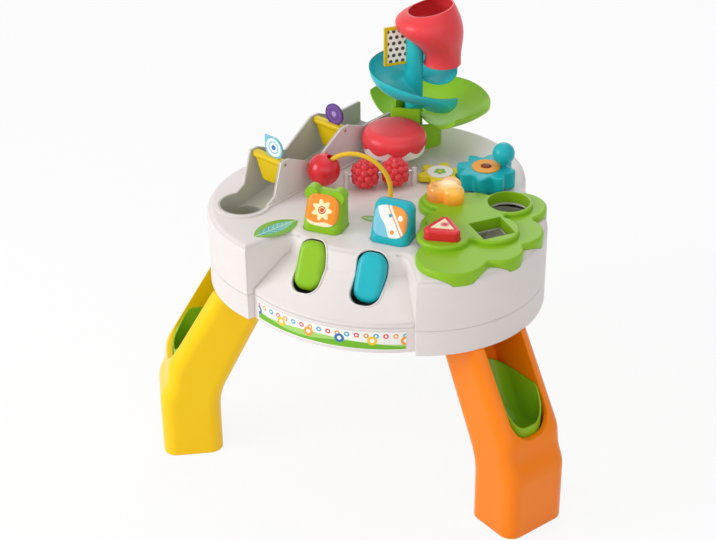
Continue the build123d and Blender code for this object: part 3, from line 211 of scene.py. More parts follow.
def wireMetal(name):
    paint = Paint(name)
    colour = linear(palette["steel"])
    brushed = paint.noise(brightWire["brush"], detail=3.0)
    dark, light = tone(colour, brightWire["darkTone"]), tone(colour, brightWire["lightTone"])
    tint = paint.mix(brushed, dark, light)
    paint.set(Base_Color=tint, Metallic=1.0,
              Roughness=brightWire["rough"] + brushed * brightWire["spread"])
    return paint.material


def dress(nodeName, material):
    target = nodes[nodeName]
    target.data.materials.clear()
    target.data.materials.append(material)


def middle(nodeName):
    low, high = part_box(nodeName)
    return (low + high) / 2


print("materials: plain mouldings")
plainNodes = {
    "shell": ("satin", ["lower_shell", "battery_door", "track_fairing", "berry_posts", "gear_posts"]),
    "track": ("matt", ["ball_track", "sorter_hopper"]),
    "legYellow": ("sheen", ["leg_left"]),
    "orange": ("sheen", ["leg_right", "power_switch"]),
    "ringOrange": ("satin", ["crank_ring"]),
    "lime": ("sheen", ["leg_rear", "left_ball_cup", "right_ball_cup", "green_key", "eared_button",
                       "tree_panel"]),
    # painted light: the tower's column and dishes take the lighter copies of lime and teal
    "dishLime": ("sheen", ["tower_column", "lower_spiral"]),
    "teal": ("sheen", ["blue_key", "hooded_button", "crank_gear", "crank_knob"]),
    "dishTeal": ("sheen", ["upper_spiral"]),
    "coral": ("sheen", ["funnel", "mushroom_cap"]),
    "red": ("gloss", ["slide_bead", "triangle_button"]),
    "yellow": ("satin", ["front_gate", "rear_gate"]),
    "archYellow": ("satin", ["bead_arch"]),
    "spinYellow": ("satin", ["spin_gear"]),
    "white": ("satin", ["mushroom_stem", "mushroom_rim", "lamp"]),
    "board": ("film", ["circuit_board"]),
    "rubber": ("matt", ["return_pads"]),
    "cell": ("film", ["batteries", "speaker"]),
}
wireNodes = ["shell_screws", "leg_screws", "battery_door_screw", "front_gate_axle", "rear_gate_axle",
             "key_axle", "berry_axle"]
deckSoften = 0.0040  # broad soft corners at the deck's shoulders

plastics = {}
for colourName, (finishName, names) in plainNodes.items():
    plastics[colourName] = moulded(colourName + "Moulding", colourName, finishName)
    for nodeName in names:
        dress(nodeName, plastics[colourName])
dress("deck_shell", moulded("deckMoulding", "shell", "satin", soften=deckSoften))
wire = wireMetal("brightWire")
for nodeName in wireNodes:
    dress(nodeName, wire)

print("materials: printed pieces")


def rosette(a, b, radius, petals, depth):  # 1 inside a petalled round
    edge = radius * (1 + depth * (b.op("ARCTAN2", a) * petals).op("COSINE"))
    return (a.reach(b) / edge).below(1.0, 0.05)


bandPrint = {
    "spread": 56.0,  # degrees of the apron that the band covers
    "hills": [(0.0105, 6.0, 1.9, "A9D672"), (0.0075, 9.0, 0.0, "73B72B")],  # height, count, turn
    "swing": 0.0030,
    "rounds": [  # count, height, radius, tints in turn
        (17.0, 0.0195, 0.0034, ("2CA9CF", "E8484E", "F3A02C")),
        (5.0, 0.0128, 0.0062, ("F3A02C", "2E6FB4", "F6C92A"))],
    "firstCell": 40.0,  # a whole number that keeps the cells' counts above zero
    "hole": 0.45, "paper": "FDFDFB", "centre": 0.0125, "halfTall": 0.0117}


def bandPattern(paint, base):
    low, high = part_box("front_label")
    spread = radians(bandPrint["spread"])
    bandRadius = high.x / sin(spread / 2)
    paper = linear(bandPrint["paper"])
    around = paint.x.op("ARCTAN2", hubY - paint.y)  # angle from the front
    up = paint.z - low.z
    for height, count, turn, tint in bandPrint["hills"]:
        ridge = height + (around * count + turn).op("SINE") * bandPrint["swing"]
        base = paint.mix((up - ridge).below(0.0), base, linear(tint))
    for count, height, radius, tints in bandPrint["rounds"]:
        cell = around * (count / spread) + bandPrint["firstCell"]
        aside = (cell.op("FRACT") - 0.5) * (spread / count * bandRadius)
        far = aside.reach(up - height)
        kinds = float(len(tints))
        step = (cell.op("FLOOR") / kinds).op("FRACT") * kinds
        tint = linear(tints[0])
        for k, other in enumerate(tints[1:]):
            tint = paint.mix(step.above(k + 0.5, 0.1), tint, linear(other))
        base = paint.mix(far.below(radius), base, tint)
        base = paint.mix(far.below(radius * bandPrint["hole"]), base, paper)
    margin = (up - bandPrint["centre"]).absolute().above(bandPrint["halfTall"])
    return paint.mix(margin, base, paper)


leafPrint = {"halfLong": 0.80, "halfWide": 0.26,  # of half the leaf's diagonal
             "edge": 0.0004, "rib": 0.0007, "ribEdge": 0.0002, "veinLean": 0.9, "veinFrom": 0.93,
             "veinEdge": 0.03, "lineShare": 0.8, "tip": "8ED2C9", "line": "D9EDB8",
             "leaf_sticker": {"turn": 62.0, "inner": "2AA6B4", "veins": 900.0},
             "sprig_sticker": {"turn": 0.0, "inner": "A9B935", "veins": 1500.0}}


def leafPattern(nodeName):
    leaf = leafPrint[nodeName]
    spot = middle(nodeName)
    low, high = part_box(nodeName)
    reach = (high - low).to_2d().length / 2
    ca, sa = cos(radians(leaf["turn"])), sin(radians(leaf["turn"]))

    def pattern(paint, base):
        x, y = paint.x - spot.x, paint.y - spot.y
        along = x * ca + y * sa
        aside = (y * ca - x * sa).absolute()
        share = along / (reach * leafPrint["halfLong"])
        half = (1 - share * share) * (reach * leafPrint["halfWide"])
        inside = (aside - half).below(0.0, leafPrint["edge"])
        tint = paint.mix(share * 0.5 + 0.5, linear(leaf["inner"]), linear(leafPrint["tip"]))
        base = paint.mix(inside, base, tint)
        rib = aside.below(leafPrint["rib"], leafPrint["ribEdge"])
        wave = ((along - aside * leafPrint["veinLean"]) * leaf["veins"]).op("SINE")
        vein = wave.above(leafPrint["veinFrom"], leafPrint["veinEdge"]) * inside
        return paint.mix(rib.most(vein) * leafPrint["lineShare"], base, linear(leafPrint["line"]))
    return pattern


signPrint = {"round": 0.0125, "ring": (0.0070, 0.0088), "heart": 0.0038,
             "front_gate_sign": ("F4FAFB", "7FC4DC", "2B7FC0"),  # ground, ring, heart
             "rear_gate_sign": ("7A55A3", "5B3A84", "B79AD0")}


def gateSignPattern(nodeName):
    ground, ring, heart = (linear(tint) for tint in signPrint[nodeName])
    spot = middle(nodeName)

    def pattern(paint, base):
        far = (paint.x - spot.x).reach(paint.y - spot.y).reach(paint.z - spot.z)
        base = paint.mix(far.below(signPrint["round"]), ring, ground)
        base = paint.mix(far.between(*signPrint["ring"]), base, ring)
        return paint.mix(far.below(signPrint["heart"]), base, heart)
    return pattern


rosettePrint = {"petals": 7.0, "radius": 0.0112, "depth": 0.22, "lift": 0.0010, "squash": 1.08,
                "heart": 0.0050, "ring": (0.0028, 0.0036), "foot": 0.0145, "footWaves": 260.0,
                "footSwing": 0.0010, "petalTint": "FBE9B9", "heartTint": "D9581E",
                "footTint": "FBEBC4"}


def rosettePattern(paint, base):
    spot = middle("eared_button_face")
    petalTint = linear(rosettePrint["petalTint"])
    a, b = paint.x - spot.x, (paint.z - spot.z) * rosettePrint["squash"]
    wave = (a * rosettePrint["footWaves"]).op("SINE") * rosettePrint["footSwing"]
    foot = (b + rosettePrint["foot"] - wave).below(0.0)
    base = paint.mix(foot, base, linear(rosettePrint["footTint"]))
    b = b - rosettePrint["lift"]
    flower = rosette(a, b, rosettePrint["radius"], rosettePrint["petals"], rosettePrint["depth"])
    base = paint.mix(flower, base, petalTint)
    far = a.reach(b)
    base = paint.mix(far.below(rosettePrint["heart"]), base, linear(rosettePrint["heartTint"]))
    return paint.mix(far.between(*rosettePrint["ring"]), base, petalTint)


bandedPrint = {"slope": (0.85, 0.55), "blueTo": 0.0075, "waves": 300.0, "swing": 0.0008,
               "orangeFrom": 0.0098, "line": (0.0056, 0.0072), "blue": "7CC6DC", "orange": "F0A048",
               "dots": [(0.0130, 0.0060, 0.0030, "FDFDFB"), (0.0050, -0.0110, 0.0026, "EE9A3E"),
                        (0.0000, 0.0075, 0.0022, "2AA3B8")]}  # across, up, radius, tint


def bandedPattern(paint, base):
    spot = middle("hooded_button_face")
    orange = linear(bandedPrint["orange"])
    a, b = paint.x - spot.x, paint.z - spot.z
    slope = a * bandedPrint["slope"][0] + b * bandedPrint["slope"][1]
    wave = (b * bandedPrint["waves"]).op("SINE") * bandedPrint["swing"]
    leftPart = (slope + bandedPrint["blueTo"] + wave).below(0.0)
    base = paint.mix(leftPart, base, linear(bandedPrint["blue"]))
    base = paint.mix(slope.above(bandedPrint["orangeFrom"]), base, orange)
    base = paint.mix(slope.between(*bandedPrint["line"]), base, orange)
    for across, up, radius, tint in bandedPrint["dots"]:
        base = paint.mix((a - across).reach(b - up).below(radius), base, linear(tint))
    return base


plaquePrint = {"turn": 222.0, "halfWide": 0.017, "frame": 0.0042, "dots": 118.0, "dotSize": 0.31,
               "dotEdge": 0.05, "paper": "FBF8EC", "ink": "4A4136"}


def plaquePattern(paint, base):
    low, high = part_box("tower_plaque")
    spot = (low + high) / 2
    turn = radians(plaquePrint["turn"])
    along = (paint.x - spot.x) * cos(turn) + (paint.y - spot.y) * sin(turn)
    up = paint.z - spot.z
    halfWide = plaquePrint["halfWide"] - plaquePrint["frame"]
    halfTall = (high.z - low.z) / 2 - plaquePrint["frame"]
    panel = along.absolute().below(halfWide) * up.absolute().below(halfTall)
    base = paint.mix(panel, base, linear(plaquePrint["paper"]))
    row = up * plaquePrint["dots"]
    shift = (row.op("FLOOR") / 2.0).op("FRACT")  # every other row moves by half a dot
    a = (along * plaquePrint["dots"] + shift).op("FRACT") - 0.5
    b = row.op("FRACT") - 0.5
    dot = a.reach(b).below(plaquePrint["dotSize"], plaquePrint["dotEdge"]) * panel
    return paint.mix(dot, base, linear(plaquePrint["ink"]))


trianglePrint = {"drop": 0.001, "round": 0.0056, "heart": 0.0028, "roundTint": "EE8A86",
                 "heartTint": "D9373F"}


def trianglePattern(paint, base):
    spot = middle("triangle_inlay")
    far = (paint.x - spot.x).reach(paint.y - (spot.y - trianglePrint["drop"]))
    base = paint.mix(far.below(trianglePrint["round"]), base, linear(trianglePrint["roundTint"]))
    return paint.mix(far.below(trianglePrint["heart"]), base, linear(trianglePrint["heartTint"]))


capPrint = {"radius": 0.0075, "petals": 5.0, "depth": 0.16, "heart": 0.0026, "petalTint": "86BE4C",
            "heartTint": "F3D64A"}


def capPattern(paint, base):
    spot = middle("spin_gear_cap")
    a, b = paint.x - spot.x, paint.y - spot.y
    flower = rosette(a, b, capPrint["radius"], capPrint["petals"], capPrint["depth"])
    base = paint.mix(flower, base, linear(capPrint["petalTint"]))
    return paint.mix(a.reach(b).below(capPrint["heart"]), base, linear(capPrint["heartTint"]))


rosetteFilm = moulded("rosetteFilm", "faceOrange", "film", rosettePattern)
bandedFilm = moulded("bandedFilm", "white", "film", bandedPattern)
printed = {
    "front_label": moulded("bandFilm", "white", "film", bandPattern),
    "leaf_sticker": moulded("leafFilm", "leaf", "film", leafPattern("leaf_sticker")),
    "sprig_sticker": moulded("sprigFilm", "leaf", "film", leafPattern("sprig_sticker")),
    "front_gate_sign": moulded("frontSignFilm", "white", "film", gateSignPattern("front_gate_sign")),
    "rear_gate_sign": moulded("rearSignFilm", "purple", "film", gateSignPattern("rear_gate_sign")),
    "eared_button_face": rosetteFilm,
    "hooded_button_face": bandedFilm,
    "tower_plaque": moulded("plaqueFilm", "yellow", "satin", plaquePattern),
    "triangle_inlay": moulded("triangleFilm", "cream", "film", trianglePattern),
    "spin_gear_cap": moulded("spinCapMoulding", "white", "satin", capPattern),
}
for nodeName, material in printed.items():
    dress(nodeName, material)

# painted light on the dome: glow is a painted glow, as the dome is no lamp, and core is a painted
# highlight, a near-white spot round the middle
domeMaterialAndPaintedLight = {"transmission": 0.50, "ior": 1.49, "rough": 0.12, "spread": 0.1, "cloud": 60.0,
             "glow": 0.20, "warm": ("F4802C", "FBB46A"), "sunny": ("F9A21E", "FFD95C"),  # foot, top; the paler top of each is a painted highlight
             "core": "FFF6DC", "paintedHighlightRadius": 0.010}


def amberDome():
    paint = Paint("amberDome")
    low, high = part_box("light_dome")
    spot = (low + high) / 2
    # the tints pale towards the top: a painted highlight
    height = (paint.z - low.z) / (high.z - low.z)
    flat = (paint.x - spot.x).reach(paint.y - spot.y)
    # core: a painted highlight round the dome's middle, strongest at the top
    core = flat.below(domeMaterialAndPaintedLight["paintedHighlightRadius"], domeMaterialAndPaintedLight["paintedHighlightRadius"]) * height
    warm, sunny = (paint.mix(height, *(linear(tint) for tint in domeMaterialAndPaintedLight[side]))
                   for side in ("warm", "sunny"))
    tint = paint.mix((paint.x - low.x) / (high.x - low.x), warm, sunny)
    tint = paint.mix(core, tint, linear(domeMaterialAndPaintedLight["core"]))
    # the emission is a painted glow
    paint.set(Base_Color=tint, Emission_Color=tint, Emission_Strength=domeMaterialAndPaintedLight["glow"],
              Roughness=domeMaterialAndPaintedLight["rough"] + paint.noise(domeMaterialAndPaintedLight["cloud"]) * domeMaterialAndPaintedLight["spread"],
              Transmission_Weight=domeMaterialAndPaintedLight["transmission"], IOR=domeMaterialAndPaintedLight["ior"])
    return paint.material


dress("light_dome", amberDome())


def newPiece(name, mesh, material, body):
    mesh.materials.clear()
    mesh.materials.append(material)
    piece = bpy.data.objects.new(name, mesh)
    bpy.context.scene.collection.objects.link(piece)
    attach(piece, body)
    return piece


def plainMesh(holder):  # the finished mesh of a grown object or a curve, which is then removed
    bpy.context.scene.collection.objects.link(holder)
    graph = bpy.context.evaluated_depsgraph_get()
    mesh = bpy.data.meshes.new_from_object(holder.evaluated_get(graph))
    bpy.data.objects.remove(holder)
    return mesh


def meshFrom(shape, name, flatCaps=False):
    for face in shape.faces:
        face.smooth = not flatCaps or len(face.verts) == 4
    mesh = bpy.data.meshes.new(name)
    shape.to_mesh(mesh)
    shape.free()
    return mesh


def bridge(shape, lower, upper):  # a belt of faces between two closed rings
    for k in range(len(lower)):
        after = (k + 1) % len(lower)
        shape.faces.new((lower[k], lower[after], upper[after], upper[k]))


def roundedLoop(halfLong, halfWide, corner, arcPoints, sidePoints):  # points round a soft rectangle
    long, wide = halfLong - corner, halfWide - corner
    ends = [(long, wide), (-long, wide), (-long, -wide), (long, -wide)]
    for q, (a, b) in enumerate(ends):
        for k in range(arcPoints + 1):
            turn = pi / 2 * (q + k / arcPoints)
            yield a + corner * cos(turn), b + corner * sin(turn)
        nextA, nextB = ends[(q + 1) % len(ends)]
        turn = pi / 2 * (q + 1)
        for k in range(1, sidePoints):
            share = k / sidePoints
            yield (a + (nextA - a) * share + corner * cos(turn),
                   b + (nextB - b) * share + corner * sin(turn))


def surfaceOf(nodeName):  # for rays that find a node's surface
    mesh = nodes[nodeName].data
    return BVHTree.FromPolygons([v.co for v in mesh.vertices], [p.vertices for p in mesh.polygons])


print("pieces: berries")
berry = {"core": 0.0156, "seedRing": 0.0148, "seedSize": 0.0053,
         "poleClear": 0.93,  # seeds past this share of the ring would touch the axle
         "ringCuts": 2, "seedCuts": 3, "coreCuts": 4}


def berryTree(material):
    tree = bpy.data.node_groups.new("berrySeeds", "GeometryNodeTree")
    for label, kind in (("Seed ring", "Float"), ("Seed size", "Float"), ("Core", "Float"),
                        ("Pole clear", "Float"), ("Axle", "Vector")):
        tree.interface.new_socket(label, in_out="INPUT", socket_type="NodeSocket" + kind)
    tree.interface.new_socket("Geometry", in_out="OUTPUT", socket_type="NodeSocketGeometry")

    def add(kind, values, **settings):
        return addNode(tree, kind, settings, values).outputs

    def ball(radius, cuts):
        return add("GeometryNodeMeshIcoSphere", {"Radius": radius, "Subdivisions": cuts})["Mesh"]

    given = add("NodeGroupInput", {})
    where = add("GeometryNodeInputPosition", {})[0]
    along = add("ShaderNodeVectorMath", {0: where, 1: given["Axle"]}, operation="DOT_PRODUCT")["Value"]
    far = add("ShaderNodeMath", {0: along}, operation="ABSOLUTE")[0]
    limit = add("ShaderNodeMath", {0: given["Seed ring"], 1: given["Pole clear"]},
                operation="MULTIPLY")[0]
    atPole = add("ShaderNodeMath", {0: far, 1: limit}, operation="GREATER_THAN")[0]
    points = add("GeometryNodeMeshToPoints", {"Mesh": ball(given["Seed ring"], berry["ringCuts"])})[0]
    kept = add("GeometryNodeDeleteGeometry", {"Geometry": points, "Selection": atPole})[0]
    seed = ball(given["Seed size"], berry["seedCuts"])
    seeds = add("GeometryNodeInstanceOnPoints", {"Points": kept, "Instance": seed})[0]
    both = tree.nodes.new("GeometryNodeJoinGeometry")
    for part in (seeds, ball(given["Core"], berry["coreCuts"])):
        tree.links.new(part, both.inputs[0])
    real = add("GeometryNodeRealizeInstances", {0: both.outputs[0]})[0]
    smooth = add("GeometryNodeSetShadeSmooth", {0: real})[0]
    coat = add("GeometryNodeSetMaterial", {"Geometry": smooth, "Material": material})[0]
    add("NodeGroupOutput", {0: coat})
    return tree


def grownMesh(name, tree, values):
    holder = bpy.data.objects.new(name, bpy.data.meshes.new(name))
    grow = holder.modifiers.new("grow", "NODES")
    grow.node_group = tree
    for item in tree.interface.items_tree:
        if item.in_out == "INPUT":
            grow[item.identifier] = values[item.name]
    return plainMesh(holder)


berryRed = moulded("berryMoulding", "berry", "gloss")
berryGroup = berryTree(berryRed)
berrySizes = {"Seed ring": berry["seedRing"], "Seed size": berry["seedSize"], "Core": berry["core"],
              "Pole clear": berry["poleClear"],
              "Axle": (middle("right_berry") - middle("left_berry")).normalized()}
for side in ("left", "right"):
    mesh = grownMesh(side + "BerrySeeds", berryGroup, berrySizes)
    mesh.transform(Matrix.Translation(middle(side + "_berry")))
    piece = newPiece(side + "_berry_seeds", mesh, berryRed, side + "_berry_body")
    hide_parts(side + "_berry")

print("pieces: drum skirt and hub cap")
skirt = {"lobes": 9, "turn": 0.35, "drop": 0.0066, "valley": 0.0004, "fullness": 0.6, "thick": 0.0008,
         "proud": 0.0003, "slice": 0.0015, "columns": 180, "rows": 10}


def skirtMesh():
    low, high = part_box("mushroom_rim")
    spot = (low + high) / 2
    rim = nodes["mushroom_rim"].data

    def widest(level):
        return max(hypot(v.co.x - spot.x, v.co.y - spot.y) for v in rim.vertices
                   if abs(v.co.z - level) < skirt["slice"])
    bottomRadius, topRadius = widest(low.z), widest(high.z)  # the rim leans
    shape = bmesh.new()
    rings = [[] for _ in range(skirt["rows"] + 1)]  # from the top down
    for i in range(skirt["columns"]):
        turn = 2 * pi * i / skirt["columns"]
        wave = 0.5 + 0.5 * cos(skirt["lobes"] * (turn + skirt["turn"]))
        length = skirt["valley"] + (skirt["drop"] - skirt["valley"]) * wave ** skirt["fullness"]
        for j, ring in enumerate(rings):
            z = high.z - length * j / skirt["rows"]
            share = (z - low.z) / (high.z - low.z)
            r = bottomRadius + (topRadius - bottomRadius) * share + skirt["proud"]
            ring.append(shape.verts.new((spot.x + r * cos(turn), spot.y + r * sin(turn), z)))
    for upper, lower in zip(rings, rings[1:]):
        bridge(shape, lower, upper)
    bmesh.ops.recalc_face_normals(shape, faces=shape.faces)
    bmesh.ops.solidify(shape, geom=shape.faces[:], thickness=-skirt["thick"])
    return meshFrom(shape, "drumSkirt")


newPiece("drum_skirt", skirtMesh(), moulded("skirtMoulding", "coral", "satin"), "mushroom_body")

hubCap = {"radius": 0.0066, "height": 0.0022, "sunk": 0.0002, "crown": 0.98,  # crown: share of the dome
          "segments": 48, "rings": 7}


def capMesh():
    low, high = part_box("crank_ring")
    spot = (low + high) / 2
    shape = bmesh.new()
    rings = []
    for j in range(hubCap["rings"]):
        share = j / (hubCap["rings"] - 1)
        r = hubCap["radius"] * cos(share * pi / 2 * hubCap["crown"])
        z = high.z - hubCap["sunk"] + hubCap["height"] * sin(share * pi / 2)
        turns = [2 * pi * i / hubCap["segments"] for i in range(hubCap["segments"])]
        rings.append([shape.verts.new((spot.x + r * cos(turn), spot.y + r * sin(turn), z))
                      for turn in turns])
    for lower, upper in zip(rings, rings[1:]):
        bridge(shape, lower, upper)
    shape.faces.new(rings[-1])
    shape.faces.new(list(reversed(rings[0])))
    bmesh.ops.recalc_face_normals(shape, faces=shape.faces)
    return meshFrom(shape, "crankCap", flatCaps=True)


newPiece("crank_hub_cap", capMesh(), moulded("hubMoulding", "umber", "satin"), "crank_body")

print("pieces: face plates and key lips")
facePlate = {"halfWide": 0.0222, "halfTall": 0.0200, "power": 3.0,  # power: how square the outline is
             "proud": 0.0013, "thick": 0.0011, "rings": 16, "spokes": 96,
             "pocket": (0.0185, 0.0170, 0.0140),  # the hood's pocket: half width, half height, corner
             "pocketEdge": 0.0006, "cover": 0.0001, "rayStart": 0.03, "deepest": -0.006}


def hoodPlate(hoodName, material):  # a printed plate that follows the front of its hood
    face = nodes[hoodName + "_face"].data
    front = [p for p in face.polygons if p.normal.y < -0.5]
    area = sum(p.area for p in front)
    centre = sum((p.center * p.area for p in front), Vector()) / area
    out = sum((p.normal * p.area for p in front), Vector()).normalized()
    across = Vector((1, 0, 0))
    up = out.cross(across)
    hood = surfaceOf(hoodName)
    pocketWide, pocketTall, pocketCorner = facePlate["pocket"]

    def plateHeight(a, b):  # height over the CAD plate's front
        overA, overB = abs(a) - pocketWide + pocketCorner, abs(b) - pocketTall + pocketCorner
        if hypot(max(overA, 0.0), max(overB, 0.0)) < pocketCorner + facePlate["pocketEdge"]:
            return facePlate["cover"]
        start = centre + across * a + up * b + out * facePlate["rayStart"]
        hit = hood.ray_cast(start, -out)[0]
        return max((hit - centre).dot(out), facePlate["deepest"]) + facePlate["proud"]

    shape = bmesh.new()
    heart = shape.verts.new(centre + out * facePlate["cover"])
    power = facePlate["power"]
    rings = []
    for r in range(1, facePlate["rings"] + 1):
        ring = []
        for k in range(facePlate["spokes"]):
            turn = 2 * pi * k / facePlate["spokes"]
            wide, tall = abs(cos(turn)) / facePlate["halfWide"], abs(sin(turn)) / facePlate["halfTall"]
            far = (wide ** power + tall ** power) ** (-1 / power) * r / facePlate["rings"]
            a, b = far * cos(turn), far * sin(turn)
            ring.append(shape.verts.new(centre + across * a + up * b + out * plateHeight(a, b)))
        rings.append(ring)
    for k in range(facePlate["spokes"]):
        shape.faces.new((heart, rings[0][k], rings[0][(k + 1) % facePlate["spokes"]]))
    for inner, outer in zip(rings, rings[1:]):
        bridge(shape, outer, inner)
    bmesh.ops.recalc_face_normals(shape, faces=shape.faces)
    if sum(f.normal.dot(out) for f in shape.faces) < 0:
        bmesh.ops.reverse_faces(shape, faces=shape.faces)
    bmesh.ops.solidify(shape, geom=shape.faces[:], thickness=facePlate["thick"])
    mesh = meshFrom(shape, hoodName + "Plate")
    piece = newPiece(hoodName + "_plate", mesh, material, hoodName + "_body")
    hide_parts(hoodName + "_face")


hoodPlate("eared_button", rosetteFilm)
hoodPlate("hooded_button", bandedFilm)

keyLip = {"spread": 0.039, "y": -0.160, "z": 0.322, "lean": 30.0, "shift": -0.0009,  # the slot's place
          "halfWide": 0.0187, "halfLong": 0.0333, "corner": 0.015, "out": 0.0013, "radius": 0.0013,
          "arcPoints": 14, "sidePoints": 14, "rayStart": 0.06, "smoothings": 3, "roundness": 3}


def lipMesh(name, side, deck):  # a bead laid on the deck round a key's slot
    lean = radians(keyLip["lean"])
    out = Vector((0, -cos(lean), sin(lean)))
    up = Vector((0, sin(lean), cos(lean)))
    centre = Vector((side * keyLip["spread"], hubY + keyLip["y"], keyLip["z"]))
    halfWide, halfLong, corner = (keyLip[size] + keyLip["out"] for size in
                                  ("halfWide", "halfLong", "corner"))
    path = []
    for a, b in roundedLoop(halfWide, halfLong, corner, keyLip["arcPoints"], keyLip["sidePoints"]):
        spot = centre + Vector((a, 0, 0)) + up * (b + keyLip["shift"])
        hit = deck.ray_cast(spot + out * keyLip["rayStart"], -out)[0]
        if hit is not None:
            path.append(hit)
    for _ in range(keyLip["smoothings"]):
        path = [(path[i - 1] + path[i] * 2 + path[(i + 1) % len(path)]) / 4 for i in range(len(path))]
    line = bpy.data.curves.new(name, "CURVE")
    line.dimensions = "3D"
    line.bevel_depth = keyLip["radius"]
    line.bevel_resolution = keyLip["roundness"]
    spline = line.splines.new("POLY")
    spline.points.add(len(path) - 1)
    for point, spot in zip(spline.points, path):
        point.co = (*spot, 1)
    spline.use_cyclic_u = True
    mesh = plainMesh(bpy.data.objects.new(name, line))
    for polygon in mesh.polygons:
        polygon.use_smooth = True
    return mesh


deckSurface = surfaceOf("deck_shell")
for side, label in ((-1, "green"), (1, "blue")):
    mesh = lipMesh(label + "KeyLip", side, deckSurface)
    newPiece(label + "_key_lip", mesh, plastics["shell"], "table")

print("pieces: ball bowls in the legs")
bowl = {"half": 0.0275, "front": 0.2832, "floor": 0.1150, "corner": 0.021, "leastCorner": 0.004,
        "foot": 0.015, "thick": 0.0021, "archTop": 0.190, "archFall": 0.007, "archPower": 2.4,
        "behind": 0.004, "arcPoints": 10, "sidePoints": 12, "footRows": 7, "wallRows": 22,
        "rimRounds": 30, "sharp": 50.0, "angles": {"left": 210.0, "right": 330.0}}
legSide = {"bottom": 0.242, "topOuter": 0.229, "outerLean": 0.6019, "topInner": 0.1595,
           "innerLean": 0.5128}  # the leg's walls, under the body's floor


def bowlLoop(z, inset=0.0):  # the bowl's inside at a height: distance from the hub, and across the leg
    back = legSide["topInner"] + legSide["innerLean"] * (legSide["bottom"] - z)
    middleOut, halfLong = (back + bowl["front"]) / 2, (bowl["front"] - back) / 2
    corner = max(bowl["corner"] - inset, bowl["leastCorner"])
    loop = roundedLoop(halfLong - inset, bowl["half"] - inset, corner, bowl["arcPoints"],
                       bowl["sidePoints"])
    return [(middleOut + a, b) for a, b in loop]


def bowlRim(away, across):  # the rim follows the leg's window, and arches over at the back
    window = legSide["bottom"] - (away + bowl["behind"] - legSide["topOuter"]) / legSide["outerLean"]
    arch = bowl["archTop"] - bowl["archFall"] * (abs(across) / bowl["half"]) ** bowl["archPower"]
    return min(window, arch)


def bowlMesh(name, angle):
    ca, sa = cos(radians(angle)), sin(radians(angle))
    shape = bmesh.new()

    def corner(spot, z):
        away, across = spot
        return shape.verts.new((away * ca - across * sa, hubY + away * sa + across * ca, z))

    rows = []
    for j in range(bowl["footRows"]):
        turn = pi / 2 * j / (bowl["footRows"] - 1)
        z = bowl["floor"] + bowl["foot"] * (1 - cos(turn))
        rows.append([corner(spot, z) for spot in bowlLoop(z, bowl["foot"] * (1 - sin(turn)))])
    start = bowl["floor"] + bowl["foot"]
    tops = [start] * len(rows[0])
    for _ in range(bowl["rimRounds"]):  # each point climbs until it meets the rim
        tops = [bowlRim(*bowlLoop(z)[k]) for k, z in enumerate(tops)]
    for j in range(1, bowl["wallRows"] + 1):
        levels = [start + (top - start) * j / bowl["wallRows"] for top in tops]
        rows.append([corner(bowlLoop(z)[k], z) for k, z in enumerate(levels)])
    for lower, upper in zip(rows, rows[1:]):
        bridge(shape, lower, upper)
    shape.faces.new(list(reversed(rows[0])))
    bmesh.ops.recalc_face_normals(shape, faces=shape.faces)
    bmesh.ops.solidify(shape, geom=shape.faces[:], thickness=-bowl["thick"])
    bmesh.ops.recalc_face_normals(shape, faces=shape.faces)
    mesh = meshFrom(shape, name)
    mesh.set_sharp_from_angle(angle=radians(bowl["sharp"]))
    return mesh


for side, angle in bowl["angles"].items():
    mesh = bowlMesh(side + "BallBowl", angle)
    piece = newPiece(side + "_ball_bowl", mesh, plastics["lime"], "table")
    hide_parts(side + "_ball_cup")

studio = {"floorSize": 12.0, "floorDrop": 0.0005, "floorColour": "F7F7F6", "floorTone": 0.98,
          "floorCloud": 3.0, "floorRough": 0.7, "backdropShare": 0.88,
          "worldStrength": 0.39, "worldColour": (0.98, 0.99, 1.0), "backdrop": (1, 1, 1),
          "lamps": [  # place, power, size, aim height
              ((-2.2, -1.8, 1.5), 52.0, 1.6, 0.25),
              ((2.0, -1.8, 1.3), 10.0, 1.8, 0.25),
              ((0.5, -2.6, 1.5), 9.0, 1.6, 0.35),
              ((0.2, 0.4, 2.9), 16.0, 2.2, 0.30),
              ((-0.6, 2.4, 1.6), 9.0, 1.6, 0.30)]}


def backdropRay(tree):  # 1 for the rays that see the backdrop: camera, glossy and transmission
    path = addNode(tree, "ShaderNodeLightPath", {}, {}).outputs
    seen = path["Is Camera Ray"]
    for kind in ("Is Glossy Ray", "Is Transmission Ray"):
        either = addNode(tree, "ShaderNodeMath", {"operation": "MAXIMUM"}, {0: seen, 1: path[kind]})
        seen = either.outputs[0]
    return seen


def blendShaders(tree, share, first, second, output):
    blend = addNode(tree, "ShaderNodeMixShader", {}, {0: share, 1: first, 2: second})
    tree.links.new(blend.outputs[0], tree.nodes[output].inputs["Surface"])


def makeWorld():
    world = bpy.data.worlds.new("softRoom")
    bpy.context.scene.world = world
    world.use_nodes = True
    tree = world.node_tree
    room = tree.nodes["Background"]
    plug(tree, room.inputs["Color"], studio["worldColour"])
    plug(tree, room.inputs["Strength"], studio["worldStrength"])
    plain = addNode(tree, "ShaderNodeBackground", {}, {"Color": studio["backdrop"], "Strength": 1.0})
    blendShaders(tree, backdropRay(tree), room.outputs[0], plain.outputs[0], "World Output")


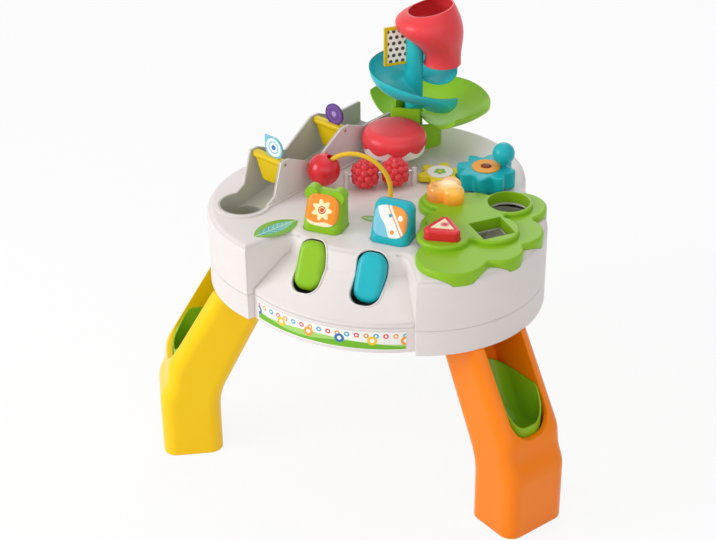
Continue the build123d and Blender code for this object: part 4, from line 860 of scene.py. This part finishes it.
def makeLamps():
    for spot, power, size, aim in studio["lamps"]:
        lamp = bpy.data.lights.new("softBox", "AREA")
        lamp.energy = power
        lamp.size = size
        holder = bpy.data.objects.new("softBox", lamp)
        holder.location = spot
        way = Vector((0, 0, aim)) - Vector(spot)
        holder.rotation_euler = way.to_track_quat("-Z", "Y").to_euler()
        bpy.context.scene.collection.objects.link(holder)


def makeFloor():
    half = studio["floorSize"] / 2
    corners = [(-half, -half, 0), (half, -half, 0), (half, half, 0), (-half, half, 0)]
    mesh = bpy.data.meshes.new("studioFloor")
    mesh.from_pydata(corners, [], [(0, 1, 2, 3)])
    floor = bpy.data.objects.new("studioFloor", mesh)
    floor.location.z = -studio["floorDrop"]
    bpy.context.scene.collection.objects.link(floor)
    paint = Paint("paleFloor")
    colour = linear(studio["floorColour"])
    tint = paint.mix(paint.noise(studio["floorCloud"]), tone(colour, studio["floorTone"]), colour)
    paint.set(Base_Color=tint, Roughness=studio["floorRough"])
    glow = paint.node("ShaderNodeEmission", {}, {"Color": studio["backdrop"]})
    seen = Field(paint, backdropRay(paint.tree)) * studio["backdropShare"]
    blendShaders(paint.tree, seen, paint.shader.outputs[0], glow, "Material Output")
    mesh.materials.append(paint.material)


view = {"azimuth": 21.6, "elevation": 30.3, "distance": 2.210, "target": (0, hubY, 0.250),
        "sensor": 36.0,  # in mm, and what follows is in pixels
        "focal": 1685.7, "centre": (386.6, 260.7), "frame": (716, 540)}


def makeCamera():
    a, e = radians(view["azimuth"]), radians(view["elevation"])
    back = Vector((sin(a) * cos(e), -cos(a) * cos(e), sin(e)))
    wide, tall = view["frame"]
    lens = bpy.data.cameras.new("viewCamera")
    lens.sensor_width = view["sensor"]
    lens.lens = view["focal"] / wide * lens.sensor_width
    lens.shift_x = (wide / 2 - view["centre"][0]) / wide
    lens.shift_y = (view["centre"][1] - tall / 2) / wide
    eye = bpy.data.objects.new("viewCamera", lens)
    eye.location = Vector(view["target"]) + back * view["distance"]
    eye.rotation_euler = (-back).to_track_quat("-Z", "Y").to_euler()
    bpy.context.scene.collection.objects.link(eye)
    bpy.context.scene.camera = eye


makeWorld()
makeLamps()
makeFloor()
makeCamera()
bpy.context.scene.view_settings.view_transform = "Standard"
print("studio and camera ready")
